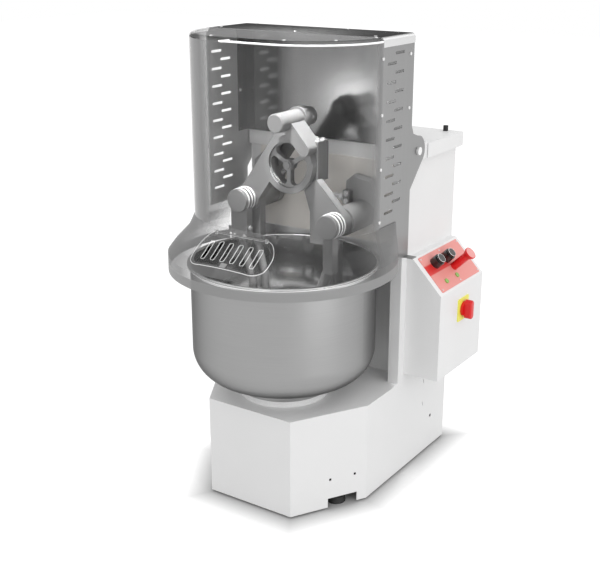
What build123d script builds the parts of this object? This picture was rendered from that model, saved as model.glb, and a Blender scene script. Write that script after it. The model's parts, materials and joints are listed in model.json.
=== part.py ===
from build123d import *
import math
import os

# Double-arm dough mixer. Lengths in mm, angles in degrees.
# +Z is up, the front faces -Y and the controls are on the +X side.
# Distances named ..._FRONT, ..._REAR or ..._Y are measured from the bowl's axis, and heights from the floor.

# Base
BASE_HALF = 280.0
NOSE_HALF = 150.0
FRONT_CLEAR = 14.1
CHAMFER_RUN = 227.0
BASE_REAR = 565.0
FLOOR_GAP = 6.0
DECK_Z = 321.0
SHEET = 2.5
NOTCH_W = 101.0
NOTCH_H = 30.0
NOTCH_SHIFT = 47.0
BRACKET_HOLE_R = 4.5
BRACKET_HOLE_PITCH = 85.0
BRACKET_HOLE_Z = 100.0
SIDE_SLOT_W = 4.0
SIDE_SLOT_H = 15.0
SIDE_SLOT_Y = 404.0
SIDE_SLOT_LOW = 186.0
SIDE_SLOT_HIGH = 267.0
SIDE_HOLE_R = 6.0
SIDE_HOLE_Y = 464.0
SIDE_HOLE_Z = 119.0
DECK_OPENING_SIDE = 60.0
DECK_OPENING_FRONT = 20.0
DECK_OPENING_REAR = 40.0

# Chassis and feet
CHASSIS_Z = 40.0
CHASSIS_T = 8.0
FOOT_R = 30.0
FOOT_TOP_R = 26.0
FOOT_H = 20.0
FOOT_INSET = 42.0
REAR_FOOT_X = 235.0
REAR_FOOT_Y = 520.0
STUD_R = 8.0
STUD_TOP = 72.0
NUT_ACROSS = 24.0
NUT_H = 8.0

# Column
COLUMN_FRONT = 225.0
COLUMN_TOP = 1030.0
REAR_FLANGE = 30.0
REAR_RAIL_H = 30.0
PANEL_T = 2.0
STRIP_W = 34.0
BOWL_CLEAR = 11.0
HEAD_PLATE_Z = 776.0
HEAD_PLATE_T = 15.0
SHELF_Z = 612.0
SHELF_T = 8.0
SHELF_FRONT_MARGIN = 15.0
SHELF_REAR_MARGIN = 25.0
BEAM_HALF = 294.0
BEAM_FRONT = 232.0
BEAM_REAR = 336.0
BEAM_TOP = 1080.0
BEAM_WALL = 3.0
BEAM_END_T = 8.0
LID_HALF = 297.0
LID_GAP = 3.0
LID_TOP = 1074.0
LID_REAR_OVERHANG = 15.0
LID_RETURN = 30.0
BUMPER_R = 8.0
BUMPER_H = 17.0
BUMPER_X = 244.0
BUMPER_REAR_GAP = 12.0
COVER_HALF = 272.0
COVER_MARGIN = 10.0
LOUVRE_L = 70.0
LOUVRE_W = 6.0
LOUVRE_PITCH = 22.0
LOUVRE_ROWS = 8
LOUVRE_X = 120.0
LOUVRE_MARGIN = 130.0
COVER_SCREW_INSET = 14.0
SCREW_HEAD_R = 5.0
SCREW_HEAD_H = 3.0
GLAND_X = 200.0
GLAND_Z = 120.0
GLAND_R = 14.0
GLAND_BORE_R = 6.0
GLAND_OUT = 25.0

# Control box
BOX_OUT = 120.0
BOX_LOW = 348.0
BOX_FACE_TOP = 628.0
BOX_LEDGE = 20.0
BOX_TOP = 732.0
BOX_FRONT = 258.0
BOX_REAR = 558.0
BOX_WALL = 2.0
PANEL_RIM = 7.0
PANEL_FRONT_RIM = 22.0
PANEL_REAR_RIM = 16.0
PANEL_CORNER = 4.0
PANEL_PLATE_T = 2.0
PANEL_SEAT = 8.0
BUTTON_R = 15.0
BUTTON_OUT = 35.0
BUTTON_TRAVEL = 4.0
BEZEL_R = 19.0
BEZEL_H = 24.0
START_DOWN = 45.0
START_ALONG = 85.0
STOP_ALONG = 158.0
BUTTON_STEM = PANEL_SEAT + 2 * BUTTON_TRAVEL
ESTOP_DOWN = 82.0
ESTOP_ALONG = 168.0
ESTOP_NECK_R = 13.0
ESTOP_HEAD_R = 20.0
ESTOP_HEAD_H = 18.0
ESTOP_RIM_H = 5.0
ESTOP_OUT = 80.0
LAMP_R = 8.0
LAMP_H = 3.0
LAMP_BODY = 14.0
LAMP_DOWN = 111.0
LAMP_ONE_ALONG = 80.0
LAMP_TWO_ALONG = 153.0
SWITCH_ALONG = 160.0
SWITCH_Z = 545.0
SWITCH_PLATE = 74.0
SWITCH_PLATE_T = 3.0
HANDLE_R = 24.0
HANDLE_BASE_H = 8.0
HANDLE_GRIP_W = 24.0
HANDLE_GRIP_L = 62.0
HANDLE_OUT = 35.0
HANDLE_STEM_R = 6.0
RAIL_Z = 447.5
RAIL_H = 35.0
RAIL_T = 7.0
RAIL_END = 40.0
CONTACTOR_H = 75.0
CONTACTOR_W = 45.0
CONTACTOR_DEEP = 60.0
CONTACTOR_PITCH = 70.0
CONTACTOR_START = 55.0

# Bowl
BOWL_R = 280.0
BOWL_CORNER = 99.0
BOWL_WALL = 3.0
BOWL_BOTTOM = 380.0
BOWL_RIM_Z = 742.0
RIM_BEAD = 6.0
COLLAR_R = 140.0
COLLAR_WALL = 6.0
COLLAR_HUB_R = 45.0
RING_R = 137.0
RING_W = 30.0
RING_H = 18.0
RING_GAP = 1.0
BOWL_SHAFT_R = 25.0
BOWL_HOUSING_R = 60.0
BOWL_FLANGE_R = 90.0
BOWL_FLANGE_T = 12.0
BOWL_HOUSING_LOW = 232.0
BOWL_PULLEY_R = 165.0
BOWL_PULLEY_LOW = 192.0

# Drive
PULLEY_R = 70.0
PULLEY_W = 24.0
PULLEY_GAP = 8.0
BELT_T = 5.0
BELT_W = 18.0
BELT_GAP = 0.4
OUTPUT_Z = 700.0
OUTPUT_R = 15.0
REDUCER_HALF = 80.0
REDUCER_GAP = 13.0
REDUCER_L = 130.0
REDUCER_TOP = 780.0
MOTOR_R = 66.0
MOTOR_CLEAR = 12.5
BOWL_DRIVE_PULLEY_R = 40.0
BEARING_FLANGE_R = 46.0
BEARING_FLANGE_T = 10.0
BEARING_R = 36.0
BEARING_GAP = 10.0
FIT = 0.05

# Arms: elbow and apex places across X and Z, and the crank throw that lifts them
THROW = 45.0
APEX_Z = 1159.0
LEFT_ELBOW_X = -186.0
LEFT_ELBOW_Z = 896.0
RIGHT_ELBOW_X = 159.0
RIGHT_ELBOW_Z = 870.0
RING_CENTRE_Z = 1029.0
ARM_RING_R = 86.0
ARM_RING_BORE = 68.0
ARM_RING_FRONT = 22.0
ARM_LAYER = 70.0
ARM_GAP = 0.5
LEFT_BAR_HALF = 35.0
LEFT_BAR_T = 32.0
APEX_BOSS_R = 28.0
APEX_FRONT = -41.0
APEX_REAR = 138.0
APEX_SHAFT_R = 16.0
APEX_CAP_T = 6.0
APEX_BEVEL = 3.0
WEB_T = 68.0
WEB_HALF = 19.0
PLATE_T = 30.0
PLATE_LEFT = 68.0
PLATE_LOW = 799.0
PLATE_SHOULDER = 893.0
ELBOW_R = 36.0
BARREL_R = 43.0
ELBOW_REAR = 186.0
LEFT_ELBOW_FRONT = 26.0
RIGHT_ELBOW_FRONT = -5.0
ELBOW_CAP_T = 10.0
GROOVE_W = 4.0
GROOVE_D = 3.0
GROOVE_PITCH = 14.0
CRANK_PIN_R = 20.0
CRANK_SHAFT_R = 22.0
CRANK_WEB_FRONT = 190.0
CRANK_WEB_REAR = 216.0
CRANK_WEB_R = 42.0
COUNTERWEIGHT_R = 76.0
COUNTERWEIGHT_HALF = 57.0
COUNTERWEIGHT_LEAN = 40.0
COUNTERWEIGHT_BEVEL = 8.0
PIN_NOSE = 24.0
BLOCK_RIGHT = 90.0
BLOCK_LEFT = 46.0
BLOCK_LOW = 984.0
BLOCK_HIGH = 1102.0
BLOCK_FRONT = 48.0
BLOCK_REAR = 104.0
SPIDER_FRONT = 28.0
SPIDER_T = 20.0
SPIDER_HUB_R = 17.0
SPIDER_LEG_W = 13.0
SPIDER_FILLET = 12.0
SPIDER_RIM_W = 4.0
SPIDER_BOLT_R = 8.0
STUB_T = 30.0
LEFT_STUB_W = 58.0
LEFT_STUB_LOW = 797.0
LEFT_TINE_SHIFT = 12.0
RIGHT_STUB_W = 32.0
RIGHT_STUB_LOW = 752.0
RIGHT_TINE_SHIFT = 36.0
TOOL_R = 12.0
TOOL_TOP_GAP = 0.3
TOOL_LOW = 432.0
TOOL_LEAN = 38.0
TOOL_KNEE_Z = 640.0
TOOL_SPAN = 54.0
TOOL_BEND = 26.5
TOOL_FLANGE_T = 12.0
TOOL_BOLT_HEAD_R = 7.0
TOOL_BOLT_HEAD_H = 6.0
TOOL_BOLT_DROP = 15.0
TOOL_BOLT_RISE = 12.0

# Guard
GUARD_HALF = 297.0
GUARD_SHEET = 2.5
GUARD_SIDE_FRONT = 31.0
GUARD_REAR = 224.0
GUARD_RIM_GAP = 9.0
GUARD_STEP_DROP = 12.0
GUARD_STEP_CORNER = 10.0
GUARD_LEG_FRONT = 134.0
GUARD_TOP = 1396.0
GUARD_BACK_LOW = 1077.0
GUARD_FLANGE = 15.0
BACK_FLANGE = 45.0
CAP_R = 12.0
CAP_LIP = 1.0
HINGE_Y = 266.0
HINGE_Z = 1064.0
LUG_R = 45.0
LUG_TOP_Z = 1143.0
LUG_LOW_Z = 954.0
LUG_EASE_Y = 12.0
LUG_EASE_Z = 24.0
HINGE_PIN_R = 7.0
HINGE_HEAD_R = 12.0
HINGE_HEAD_H = 7.0
SLOT_L = 51.0
SLOT_W = 8.0
SLOT_TOP_GAP = 61.0
SLOT_LOW_GAP = 50.2
SLOT_FRONT_Y = 96.0
SLOT_REAR_Y = 140.0
LEFT_SLOT_SHIFT = 20.0
SLOT_ROWS = 9
TOP_SLOT_L = 40.0
TOP_SLOT_W = 7.0
TOP_SLOT_PITCH = 62.0
TOP_SLOT_ROW = 26.0
SCREEN_T = 3.0
SCREEN_FRONT = 188.0
SCREEN_GAP = 0.3
SCREEN_LAP = 12.0
HOOP_R = 344.0
HOOP_DROP = 13.0
HOOP_H = 52.0
SKIRT_RISE = 134.0
SKIRT_REAR = 140.0
# Skirt's profile: share of its drop below the screen, share of the way out to the band at the sides, and at
# the front, where it falls more steeply under the flap and then runs out flatter
SKIRT_PROFILE = ((0.0, 0.0, 0.0), (0.2, 0.1, 0.15), (0.4, 0.22, 0.31), (0.6, 0.52, 0.47), (0.8, 0.82, 0.66),
                 (1.0, 1.0, 1.0))
GUARD_SCREW_R = 4.5
GUARD_SCREW_H = 3.0
GUARD_SCREW_EDGE = 6.0
GUARD_SCREW_TOP = 44.0
GUARD_SCREW_LOW = 20.0
REAR_SCREW_EDGE = 24.0
RIVET_PITCH = 165.0
RIVET_INSET = 16.0
RIVET_HEADINGS = (-78, -40)
MIDDLE_RIVET_X = 265.0
MIDDLE_RIVET_Y = 19.0
FLAP_HALF = 130.0
FLAP_REAR = 204.0
FLAP_FRONT = 303.0
FLAP_CORNER = 42.0
FLAP_T = 3.0
FLAP_GAP = 0.8
FLAP_LAP = 9.0
FLAP_SLOT_W = 14.0
FLAP_SLOT_L = 56.0
FLAP_SLOT_PITCH = 34.0
FLAP_SLOTS = 6
FLAP_BARREL_R = 3.2
FLAP_BARREL_HALF = 84.0
FLAP_LUG_R = 5.5
FLAP_LUG_T = 6.0
FLAP_LUG_GAP = 0.5
FLAP_PIN_R = 1.5
CLASP_W = 20.0
CLASP_L = 13.0
CLASP_T = 4.0
CLASP_MARGIN = 3.0
BRACKET_MARGIN = 16.0
TAB_OUT = 30.0
TAB_L = 26.0

# The base's front stands clear of the belt round the bowl's pulley
BASE_FRONT = BOWL_PULLEY_R + BELT_GAP + BELT_T + FRONT_CLEAR + SHEET

# The frame's origin is on the floor at the middle of the machine's footprint
RIGHT_REACH = BASE_HALF + BOX_OUT + HANDLE_OUT
AXIS_X = (HOOP_R - RIGHT_REACH) / 2
AXIS_Y = (HOOP_R - BASE_REAR - GLAND_OUT) / 2

# Places that follow from the bowl: the recess behind it and the drive behind the recess
recess_rear = BOWL_R + 1.5 * RIM_BEAD + BOWL_CLEAR + PANEL_T
pulley_front = recess_rear + PULLEY_GAP
bearing_rear = pulley_front - BEARING_GAP
reducer_front = pulley_front + PULLEY_W + REDUCER_GAP
reducer_rear = reducer_front + REDUCER_L
bowl_drive_y = reducer_front + REDUCER_L / 2
motor_l = BASE_HALF - SHEET - REDUCER_HALF - MOTOR_CLEAR

# Heights of the guard's lower edges above the bowl's rim
hoop_low = BOWL_RIM_Z - HOOP_DROP
hoop_high = hoop_low + HOOP_H
screen_low = BOWL_RIM_Z + SKIRT_RISE
guard_side_low = BOWL_RIM_Z + GUARD_RIM_GAP
guard_step_z = screen_low - GUARD_STEP_DROP
slot_top = GUARD_TOP - SLOT_TOP_GAP
slot_pitch = (slot_top - guard_step_z - SLOT_LOW_GAP) / (SLOT_ROWS - 1)


def level(z):
    """Horizontal plane at a height, centred on the bowl's axis."""
    return Plane(origin=(AXIS_X, AXIS_Y, z), x_dir=(1, 0, 0), z_dir=(0, 0, 1))


def face(y):
    """Upright plane across the machine at a depth, x to the right and y up, looking towards the rear."""
    return Plane(origin=(AXIS_X, AXIS_Y + y, 0), x_dir=(1, 0, 0), z_dir=(0, -1, 0))


def flank(x):
    """Upright plane along the machine, x to the rear and y up, facing right."""
    return Plane(origin=(AXIS_X + x, AXIS_Y, 0), x_dir=(0, 1, 0), z_dir=(1, 0, 0))


def chamfer_face(hand):
    """Plane of a cut front corner, centred on its length, facing outwards."""
    run = Vector(BASE_HALF - NOSE_HALF, hand * CHAMFER_RUN, 0)
    out = Vector(hand * CHAMFER_RUN, NOSE_HALF - BASE_HALF, 0)
    middle = (AXIS_X + hand * (BASE_HALF + NOSE_HALF) / 2, AXIS_Y - BASE_FRONT + CHAMFER_RUN / 2, 0)
    return Plane(origin=middle, x_dir=run, z_dir=out)


def block(x, y, z, mode=Mode.ADD):
    """Box between pairs of limits along X, Y and Z."""
    with BuildSketch(level(z[0])) as plan:
        with Locations(((x[0] + x[1]) / 2, (y[0] + y[1]) / 2)):
            Rectangle(x[1] - x[0], y[1] - y[0])
    extrude(plan.sketch, amount=z[1] - z[0], mode=mode)


def upright(x, y, radius, low, high, mode=Mode.ADD):
    """Cylinder along Z between two heights."""
    with BuildSketch(level(low)) as plan:
        with Locations((x, y)):
            Circle(radius)
    extrude(plan.sketch, amount=high - low, mode=mode)


def deep(x, z, radius, front, rear, mode=Mode.ADD):
    """Cylinder along Y between two depths."""
    with BuildSketch(face(rear)) as section:
        with Locations((x, z)):
            Circle(radius)
    extrude(section.sketch, amount=rear - front, mode=mode)


def across(y, z, radius, left, right, mode=Mode.ADD):
    """Cylinder along X between two places."""
    with BuildSketch(flank(left)) as section:
        with Locations((y, z)):
            Circle(radius)
    extrude(section.sketch, amount=right - left, mode=mode)


def plate(points, front, rear, mode=Mode.ADD):
    """Flat plate across the machine with the given corners, between two depths."""
    with BuildSketch(face(rear)) as outline:
        with BuildLine():
            Polyline(*points, close=True)
        make_face()
    extrude(outline.sketch, amount=rear - front, mode=mode)


def strap(start, end, half, front, rear):
    """Straight round-ended bar across the machine between two pivots."""
    middle = ((start[0] + end[0]) / 2, (start[1] + end[1]) / 2)
    length = math.dist(start, end)
    tilt = math.degrees(math.atan2(end[1] - start[1], end[0] - start[0]))
    with BuildSketch(face(rear)) as outline:
        with Locations(middle):
            SlotCenterToCenter(length, 2 * half, rotation=tilt)
    extrude(outline.sketch, amount=rear - front)


# Base casing: folded sheet, open below
with BuildPart() as base_casing:
    with BuildSketch(level(FLOOR_GAP)):
        with BuildLine():
            Polyline(
                (-NOSE_HALF, -BASE_FRONT), (NOSE_HALF, -BASE_FRONT), (BASE_HALF, CHAMFER_RUN - BASE_FRONT),
                (BASE_HALF, BASE_REAR), (-BASE_HALF, BASE_REAR), (-BASE_HALF, CHAMFER_RUN - BASE_FRONT),
                close=True)
        make_face()
    extrude(amount=DECK_Z - FLOOR_GAP)
    offset(amount=-SHEET, openings=base_casing.faces().sort_by(Axis.Z)[0], kind=Kind.INTERSECTION)
    upright(0, 0, BOWL_SHAFT_R + 5, DECK_Z - SHEET, DECK_Z, Mode.SUBTRACT)
    block((DECK_OPENING_SIDE - BASE_HALF, BASE_HALF - DECK_OPENING_SIDE),
          (recess_rear + DECK_OPENING_FRONT, BASE_REAR - DECK_OPENING_REAR),
          (DECK_Z - SHEET, DECK_Z), Mode.SUBTRACT)
    for hand in (1, -1):
        with BuildSketch(chamfer_face(hand)) as notch:
            with Locations((hand * NOTCH_SHIFT, FLOOR_GAP + NOTCH_H / 2)):
                Rectangle(NOTCH_W, NOTCH_H)
            with Locations((hand * NOTCH_SHIFT, BRACKET_HOLE_Z)):
                with GridLocations(BRACKET_HOLE_PITCH, 1, 2, 1):
                    Circle(BRACKET_HOLE_R)
        extrude(notch.sketch, amount=-3 * SHEET, mode=Mode.SUBTRACT)
    with BuildSketch(flank(-BASE_HALF)) as side_openings:
        with Locations((SIDE_SLOT_Y, SIDE_SLOT_LOW), (SIDE_SLOT_Y, SIDE_SLOT_HIGH)):
            SlotOverall(SIDE_SLOT_H, SIDE_SLOT_W, rotation=90)
        with Locations((SIDE_HOLE_Y, SIDE_HOLE_Z)):
            Circle(SIDE_HOLE_R)
    extrude(side_openings.sketch, amount=2 * BASE_HALF, mode=Mode.SUBTRACT)
    deep(GLAND_X, GLAND_Z, GLAND_R - 3, BASE_REAR - SHEET, BASE_REAR, Mode.SUBTRACT)

# Feet: their places behind the front corners and at the rear
chamfer_length = math.hypot(BASE_HALF - NOSE_HALF, CHAMFER_RUN)
along_x = (BASE_HALF - NOSE_HALF) / chamfer_length
along_y = CHAMFER_RUN / chamfer_length
front_foot_x = (BASE_HALF + NOSE_HALF) / 2 + NOTCH_SHIFT * along_x - FOOT_INSET * along_y
front_foot_y = CHAMFER_RUN / 2 - BASE_FRONT + NOTCH_SHIFT * along_y + FOOT_INSET * along_x
foot_places = [
    (front_foot_x, front_foot_y), (-front_foot_x, front_foot_y),
    (REAR_FOOT_X, REAR_FOOT_Y), (-REAR_FOOT_X, REAR_FOOT_Y)]

with BuildPart() as feet:
    with BuildSketch(level(0)):
        with Locations(*foot_places):
            Circle(FOOT_R)
    extrude(amount=FOOT_H, taper=math.degrees(math.atan2(FOOT_R - FOOT_TOP_R, FOOT_H)))

with BuildPart() as foot_studs:
    with BuildSketch(level(FOOT_H)):
        with Locations(*foot_places):
            Circle(STUD_R)
    extrude(amount=STUD_TOP - FOOT_H)
    for nut_z in (CHASSIS_Z - NUT_H, CHASSIS_Z + CHASSIS_T):
        with BuildSketch(level(nut_z)):
            with Locations(*foot_places):
                RegularPolygon(NUT_ACROSS / 2, 6, major_radius=False)
        extrude(amount=NUT_H)

with BuildPart() as chassis:
    with BuildSketch(level(CHASSIS_Z)):
        with BuildLine():
            Polyline(
                (-NOSE_HALF, -BASE_FRONT), (NOSE_HALF, -BASE_FRONT), (BASE_HALF, CHAMFER_RUN - BASE_FRONT),
                (BASE_HALF, BASE_REAR), (-BASE_HALF, BASE_REAR), (-BASE_HALF, CHAMFER_RUN - BASE_FRONT),
                close=True)
        make_face()
        offset(amount=-SHEET, kind=Kind.INTERSECTION)
        with Locations(*foot_places):
            Circle(STUD_R + 0.3, mode=Mode.SUBTRACT)
    extrude(amount=CHASSIS_T)

# Column casing: two folded sides, rails across the rear and a welded shelf for the reducer
with BuildPart() as column_casing:
    for hand in (1, -1):
        outer = sorted((hand * BASE_HALF, hand * (BASE_HALF - SHEET)))
        flange = sorted((hand * BASE_HALF, hand * (BASE_HALF - REAR_FLANGE)))
        block(outer, (COLUMN_FRONT, BASE_REAR), (DECK_Z, COLUMN_TOP))
        block(flange, (BASE_REAR - SHEET, BASE_REAR), (DECK_Z, COLUMN_TOP))
    for rail_low in (DECK_Z, COLUMN_TOP - REAR_RAIL_H):
        block((-BASE_HALF, BASE_HALF), (BASE_REAR - SHEET, BASE_REAR), (rail_low, rail_low + REAR_RAIL_H))
    block((SHEET - BASE_HALF, BASE_HALF - SHEET),
          (reducer_front - SHELF_FRONT_MARGIN, reducer_rear + SHELF_REAR_MARGIN),
          (SHELF_Z, SHELF_Z + SHELF_T))
    upright(0, bowl_drive_y, OUTPUT_R + 10, SHELF_Z, SHELF_Z + SHELF_T, Mode.SUBTRACT)

# Stainless front panel: strips on both edges, folded back to a recess behind the bowl
strip_outer = BASE_HALF - SHEET
strip_inner = strip_outer - STRIP_W
with BuildPart() as front_panel:
    for hand in (1, -1):
        strip = sorted((hand * strip_outer, hand * strip_inner))
        fold = sorted((hand * strip_inner, hand * (strip_inner + PANEL_T)))
        block(strip, (COLUMN_FRONT, COLUMN_FRONT + PANEL_T), (DECK_Z, COLUMN_TOP))
        block(fold, (COLUMN_FRONT, recess_rear), (DECK_Z, HEAD_PLATE_Z))
    block((-strip_inner, strip_inner), (recess_rear - PANEL_T, recess_rear), (DECK_Z, HEAD_PLATE_Z))
    block((-strip_inner, strip_inner), (COLUMN_FRONT, recess_rear), (HEAD_PLATE_Z - PANEL_T, HEAD_PLATE_Z))

# Head plate: carries the two crank bearings
left_axis = (LEFT_ELBOW_X, LEFT_ELBOW_Z + THROW)
right_axis = (RIGHT_ELBOW_X, RIGHT_ELBOW_Z + THROW)
head_rear = COLUMN_FRONT + HEAD_PLATE_T
with BuildPart() as head_plate:
    block((-strip_inner, strip_inner), (COLUMN_FRONT, head_rear), (HEAD_PLATE_Z, COLUMN_TOP))
    for axis_x, axis_z in (left_axis, right_axis):
        deep(axis_x, axis_z, CRANK_SHAFT_R + 1, COLUMN_FRONT, head_rear, Mode.SUBTRACT)

with BuildPart() as crank_bearings:
    for axis_x, axis_z in (left_axis, right_axis):
        deep(axis_x, axis_z, BEARING_FLANGE_R, head_rear, head_rear + BEARING_FLANGE_T)
        deep(axis_x, axis_z, BEARING_R, head_rear, bearing_rear)
        deep(axis_x, axis_z, CRANK_SHAFT_R + FIT, head_rear, bearing_rear, Mode.SUBTRACT)

# Hinge beam across the top of the column, open below, with thick ends for the guard's bolts
with BuildPart() as hinge_beam:
    block((-BEAM_HALF, BEAM_HALF), (BEAM_FRONT, BEAM_REAR), (COLUMN_TOP, BEAM_TOP))
    block((BEAM_END_T - BEAM_HALF, BEAM_HALF - BEAM_END_T), (BEAM_FRONT + BEAM_WALL, BEAM_REAR - BEAM_WALL),
          (COLUMN_TOP, BEAM_TOP - BEAM_WALL), Mode.SUBTRACT)
    across(HINGE_Y, HINGE_Z, HINGE_PIN_R + FIT, -BEAM_HALF, BEAM_HALF, Mode.SUBTRACT)

side_outer = GUARD_HALF + GUARD_SHEET
with BuildPart() as guard_hinge_bolts:
    for hand in (1, -1):
        shank = sorted((hand * (BEAM_HALF - BEAM_END_T), hand * (side_outer + 1)))
        head = sorted((hand * (side_outer + 1), hand * (side_outer + 1 + HINGE_HEAD_H)))
        across(HINGE_Y, HINGE_Z, HINGE_PIN_R, *shank)
        across(HINGE_Y, HINGE_Z, HINGE_HEAD_R, *head)

# Lid: tray with folded-in returns that sit on the column's top edges
lid_front = BEAM_REAR + LID_GAP
lid_rear = BASE_REAR + LID_REAR_OVERHANG
with BuildPart() as column_lid:
    block((-LID_HALF, LID_HALF), (lid_front, lid_rear), (COLUMN_TOP, LID_TOP))
    block((SHEET - LID_HALF, LID_HALF - SHEET), (lid_front + SHEET, lid_rear - SHEET),
          (COLUMN_TOP + SHEET, LID_TOP - SHEET), Mode.SUBTRACT)
    block((LID_RETURN - LID_HALF, LID_HALF - LID_RETURN), (lid_front + LID_RETURN, lid_rear - LID_RETURN),
          (COLUMN_TOP, COLUMN_TOP + SHEET), Mode.SUBTRACT)

with BuildPart() as lid_bumpers:
    for hand in (1, -1):
        upright(hand * BUMPER_X, lid_rear - BUMPER_REAR_GAP - BUMPER_R, BUMPER_R, LID_TOP, LID_TOP + BUMPER_H)

# Rear cover with louvre slots
cover_rear = BASE_REAR + SHEET
cover_low = DECK_Z + COVER_MARGIN
cover_high = COLUMN_TOP - COVER_MARGIN
with BuildPart() as rear_cover:
    block((-COVER_HALF, COVER_HALF), (BASE_REAR, cover_rear), (cover_low, cover_high))
    with BuildSketch(face(cover_rear)) as louvres:
        for louvre_z in (cover_low + LOUVRE_MARGIN, cover_high - LOUVRE_MARGIN):
            with Locations((0, louvre_z)):
                with GridLocations(2 * LOUVRE_X, LOUVRE_PITCH, 2, LOUVRE_ROWS):
                    SlotOverall(LOUVRE_L, LOUVRE_W)
    extrude(louvres.sketch, amount=SHEET, mode=Mode.SUBTRACT)

with BuildPart() as cable_gland:
    deep(GLAND_X, GLAND_Z, GLAND_R, BASE_REAR, BASE_REAR + GLAND_OUT)
    deep(GLAND_X, GLAND_Z, GLAND_R - 3.3, BASE_REAR - 12, BASE_REAR)
    deep(GLAND_X, GLAND_Z, GLAND_BORE_R, BASE_REAR - 12, BASE_REAR + GLAND_OUT, Mode.SUBTRACT)

# Control box: five-sided box on the column's right side, with a sloped top
box_right = BASE_HALF + BOX_OUT
slope_run = BOX_OUT - BOX_LEDGE
slope_drop = BOX_TOP - BOX_FACE_TOP
slope_length = math.hypot(slope_run, slope_drop)
box_depth = BOX_REAR - BOX_FRONT
panel_long = box_depth - PANEL_FRONT_RIM - PANEL_REAR_RIM
panel_middle = PANEL_FRONT_RIM + panel_long / 2
slope = Plane(
    origin=(AXIS_X + BASE_HALF + BOX_LEDGE, AXIS_Y + BOX_FRONT, BOX_TOP), x_dir=(0, 1, 0),
    z_dir=(slope_drop, 0, slope_run))


def on_slope(height=0.0):
    """Plane parallel to the sloped panel, x along the machine from the box's front, y up the slope."""
    return slope.offset(height)


def peg(along, down, radius, low, high, mode=Mode.ADD):
    """Cylinder square to the sloped panel between two heights above it."""
    with BuildSketch(on_slope(low)) as section:
        with Locations((along, -down)):
            Circle(radius)
    extrude(section.sketch, amount=high - low, mode=mode)


with BuildPart() as control_box:
    plate([(BASE_HALF, BOX_LOW), (box_right, BOX_LOW), (box_right, BOX_FACE_TOP),
           (BASE_HALF + BOX_LEDGE, BOX_TOP), (BASE_HALF, BOX_TOP)], BOX_FRONT, BOX_REAR)
    inner_slope_shift = BOX_WALL * (slope_length - slope_drop) / slope_run
    plate([(BASE_HALF + BOX_WALL, BOX_LOW + BOX_WALL), (box_right - BOX_WALL, BOX_LOW + BOX_WALL),
           (box_right - BOX_WALL, BOX_FACE_TOP - BOX_WALL * (slope_length - slope_run) / slope_drop),
           (BASE_HALF + BOX_LEDGE - inner_slope_shift, BOX_TOP - BOX_WALL),
           (BASE_HALF + BOX_WALL, BOX_TOP - BOX_WALL)],
          BOX_FRONT + BOX_WALL, BOX_REAR - BOX_WALL, Mode.SUBTRACT)
    with BuildSketch(on_slope()) as panel_opening:
        with Locations((panel_middle, -slope_length / 2)):
            Rectangle(panel_long - 2 * PANEL_SEAT, slope_length - 2 * (PANEL_RIM + PANEL_SEAT))
    extrude(panel_opening.sketch, amount=-2 * BOX_WALL, mode=Mode.SUBTRACT)
    across(BOX_FRONT + SWITCH_ALONG, SWITCH_Z, HANDLE_STEM_R + 0.3, box_right - BOX_WALL, box_right,
           Mode.SUBTRACT)

button_holes = [(START_ALONG, START_DOWN), (STOP_ALONG, START_DOWN)]
lamp_holes = [(LAMP_ONE_ALONG, LAMP_DOWN), (LAMP_TWO_ALONG, LAMP_DOWN)]
with BuildPart() as control_panel:
    with BuildSketch(on_slope()) as panel_outline:
        with Locations((panel_middle, -slope_length / 2)):
            RectangleRounded(panel_long, slope_length - 2 * PANEL_RIM, PANEL_CORNER)
    extrude(panel_outline.sketch, amount=PANEL_PLATE_T)
    for along, down in button_holes:
        peg(along, down, BUTTON_R + 0.4, 0, PANEL_PLATE_T, Mode.SUBTRACT)
    for along, down in lamp_holes:
        peg(along, down, LAMP_R - 1, 0, PANEL_PLATE_T, Mode.SUBTRACT)
    peg(ESTOP_ALONG, ESTOP_DOWN, ESTOP_NECK_R + 0.4, 0, PANEL_PLATE_T, Mode.SUBTRACT)

with BuildPart() as button_bezels:
    for along, down in button_holes:
        peg(along, down, BEZEL_R, PANEL_PLATE_T, PANEL_PLATE_T + BEZEL_H)
        peg(along, down, BUTTON_R + 0.4, PANEL_PLATE_T, PANEL_PLATE_T + BEZEL_H, Mode.SUBTRACT)

with BuildPart() as start_button:
    peg(START_ALONG, START_DOWN, BUTTON_R, -BUTTON_STEM, BUTTON_OUT)

with BuildPart() as stop_button:
    peg(STOP_ALONG, START_DOWN, BUTTON_R, -BUTTON_STEM, BUTTON_OUT)

with BuildPart() as emergency_stop:
    peg(ESTOP_ALONG, ESTOP_DOWN, ESTOP_NECK_R, -BUTTON_STEM, ESTOP_OUT - ESTOP_HEAD_H)
    flare_h = ESTOP_HEAD_H - ESTOP_RIM_H
    with BuildSketch(on_slope(ESTOP_OUT - ESTOP_HEAD_H)) as flare_foot:
        with Locations((ESTOP_ALONG, -ESTOP_DOWN)):
            Circle(ESTOP_NECK_R)
    extrude(flare_foot.sketch, amount=flare_h,
            taper=-math.degrees(math.atan2(ESTOP_HEAD_R - ESTOP_NECK_R, flare_h)))
    peg(ESTOP_ALONG, ESTOP_DOWN, ESTOP_HEAD_R, ESTOP_OUT - ESTOP_RIM_H, ESTOP_OUT)

with BuildPart() as signal_lamps:
    for along, down in lamp_holes:
        peg(along, down, LAMP_R, PANEL_PLATE_T, PANEL_PLATE_T + LAMP_H)
        peg(along, down, LAMP_R - 1.3, -LAMP_BODY, PANEL_PLATE_T)

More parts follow.
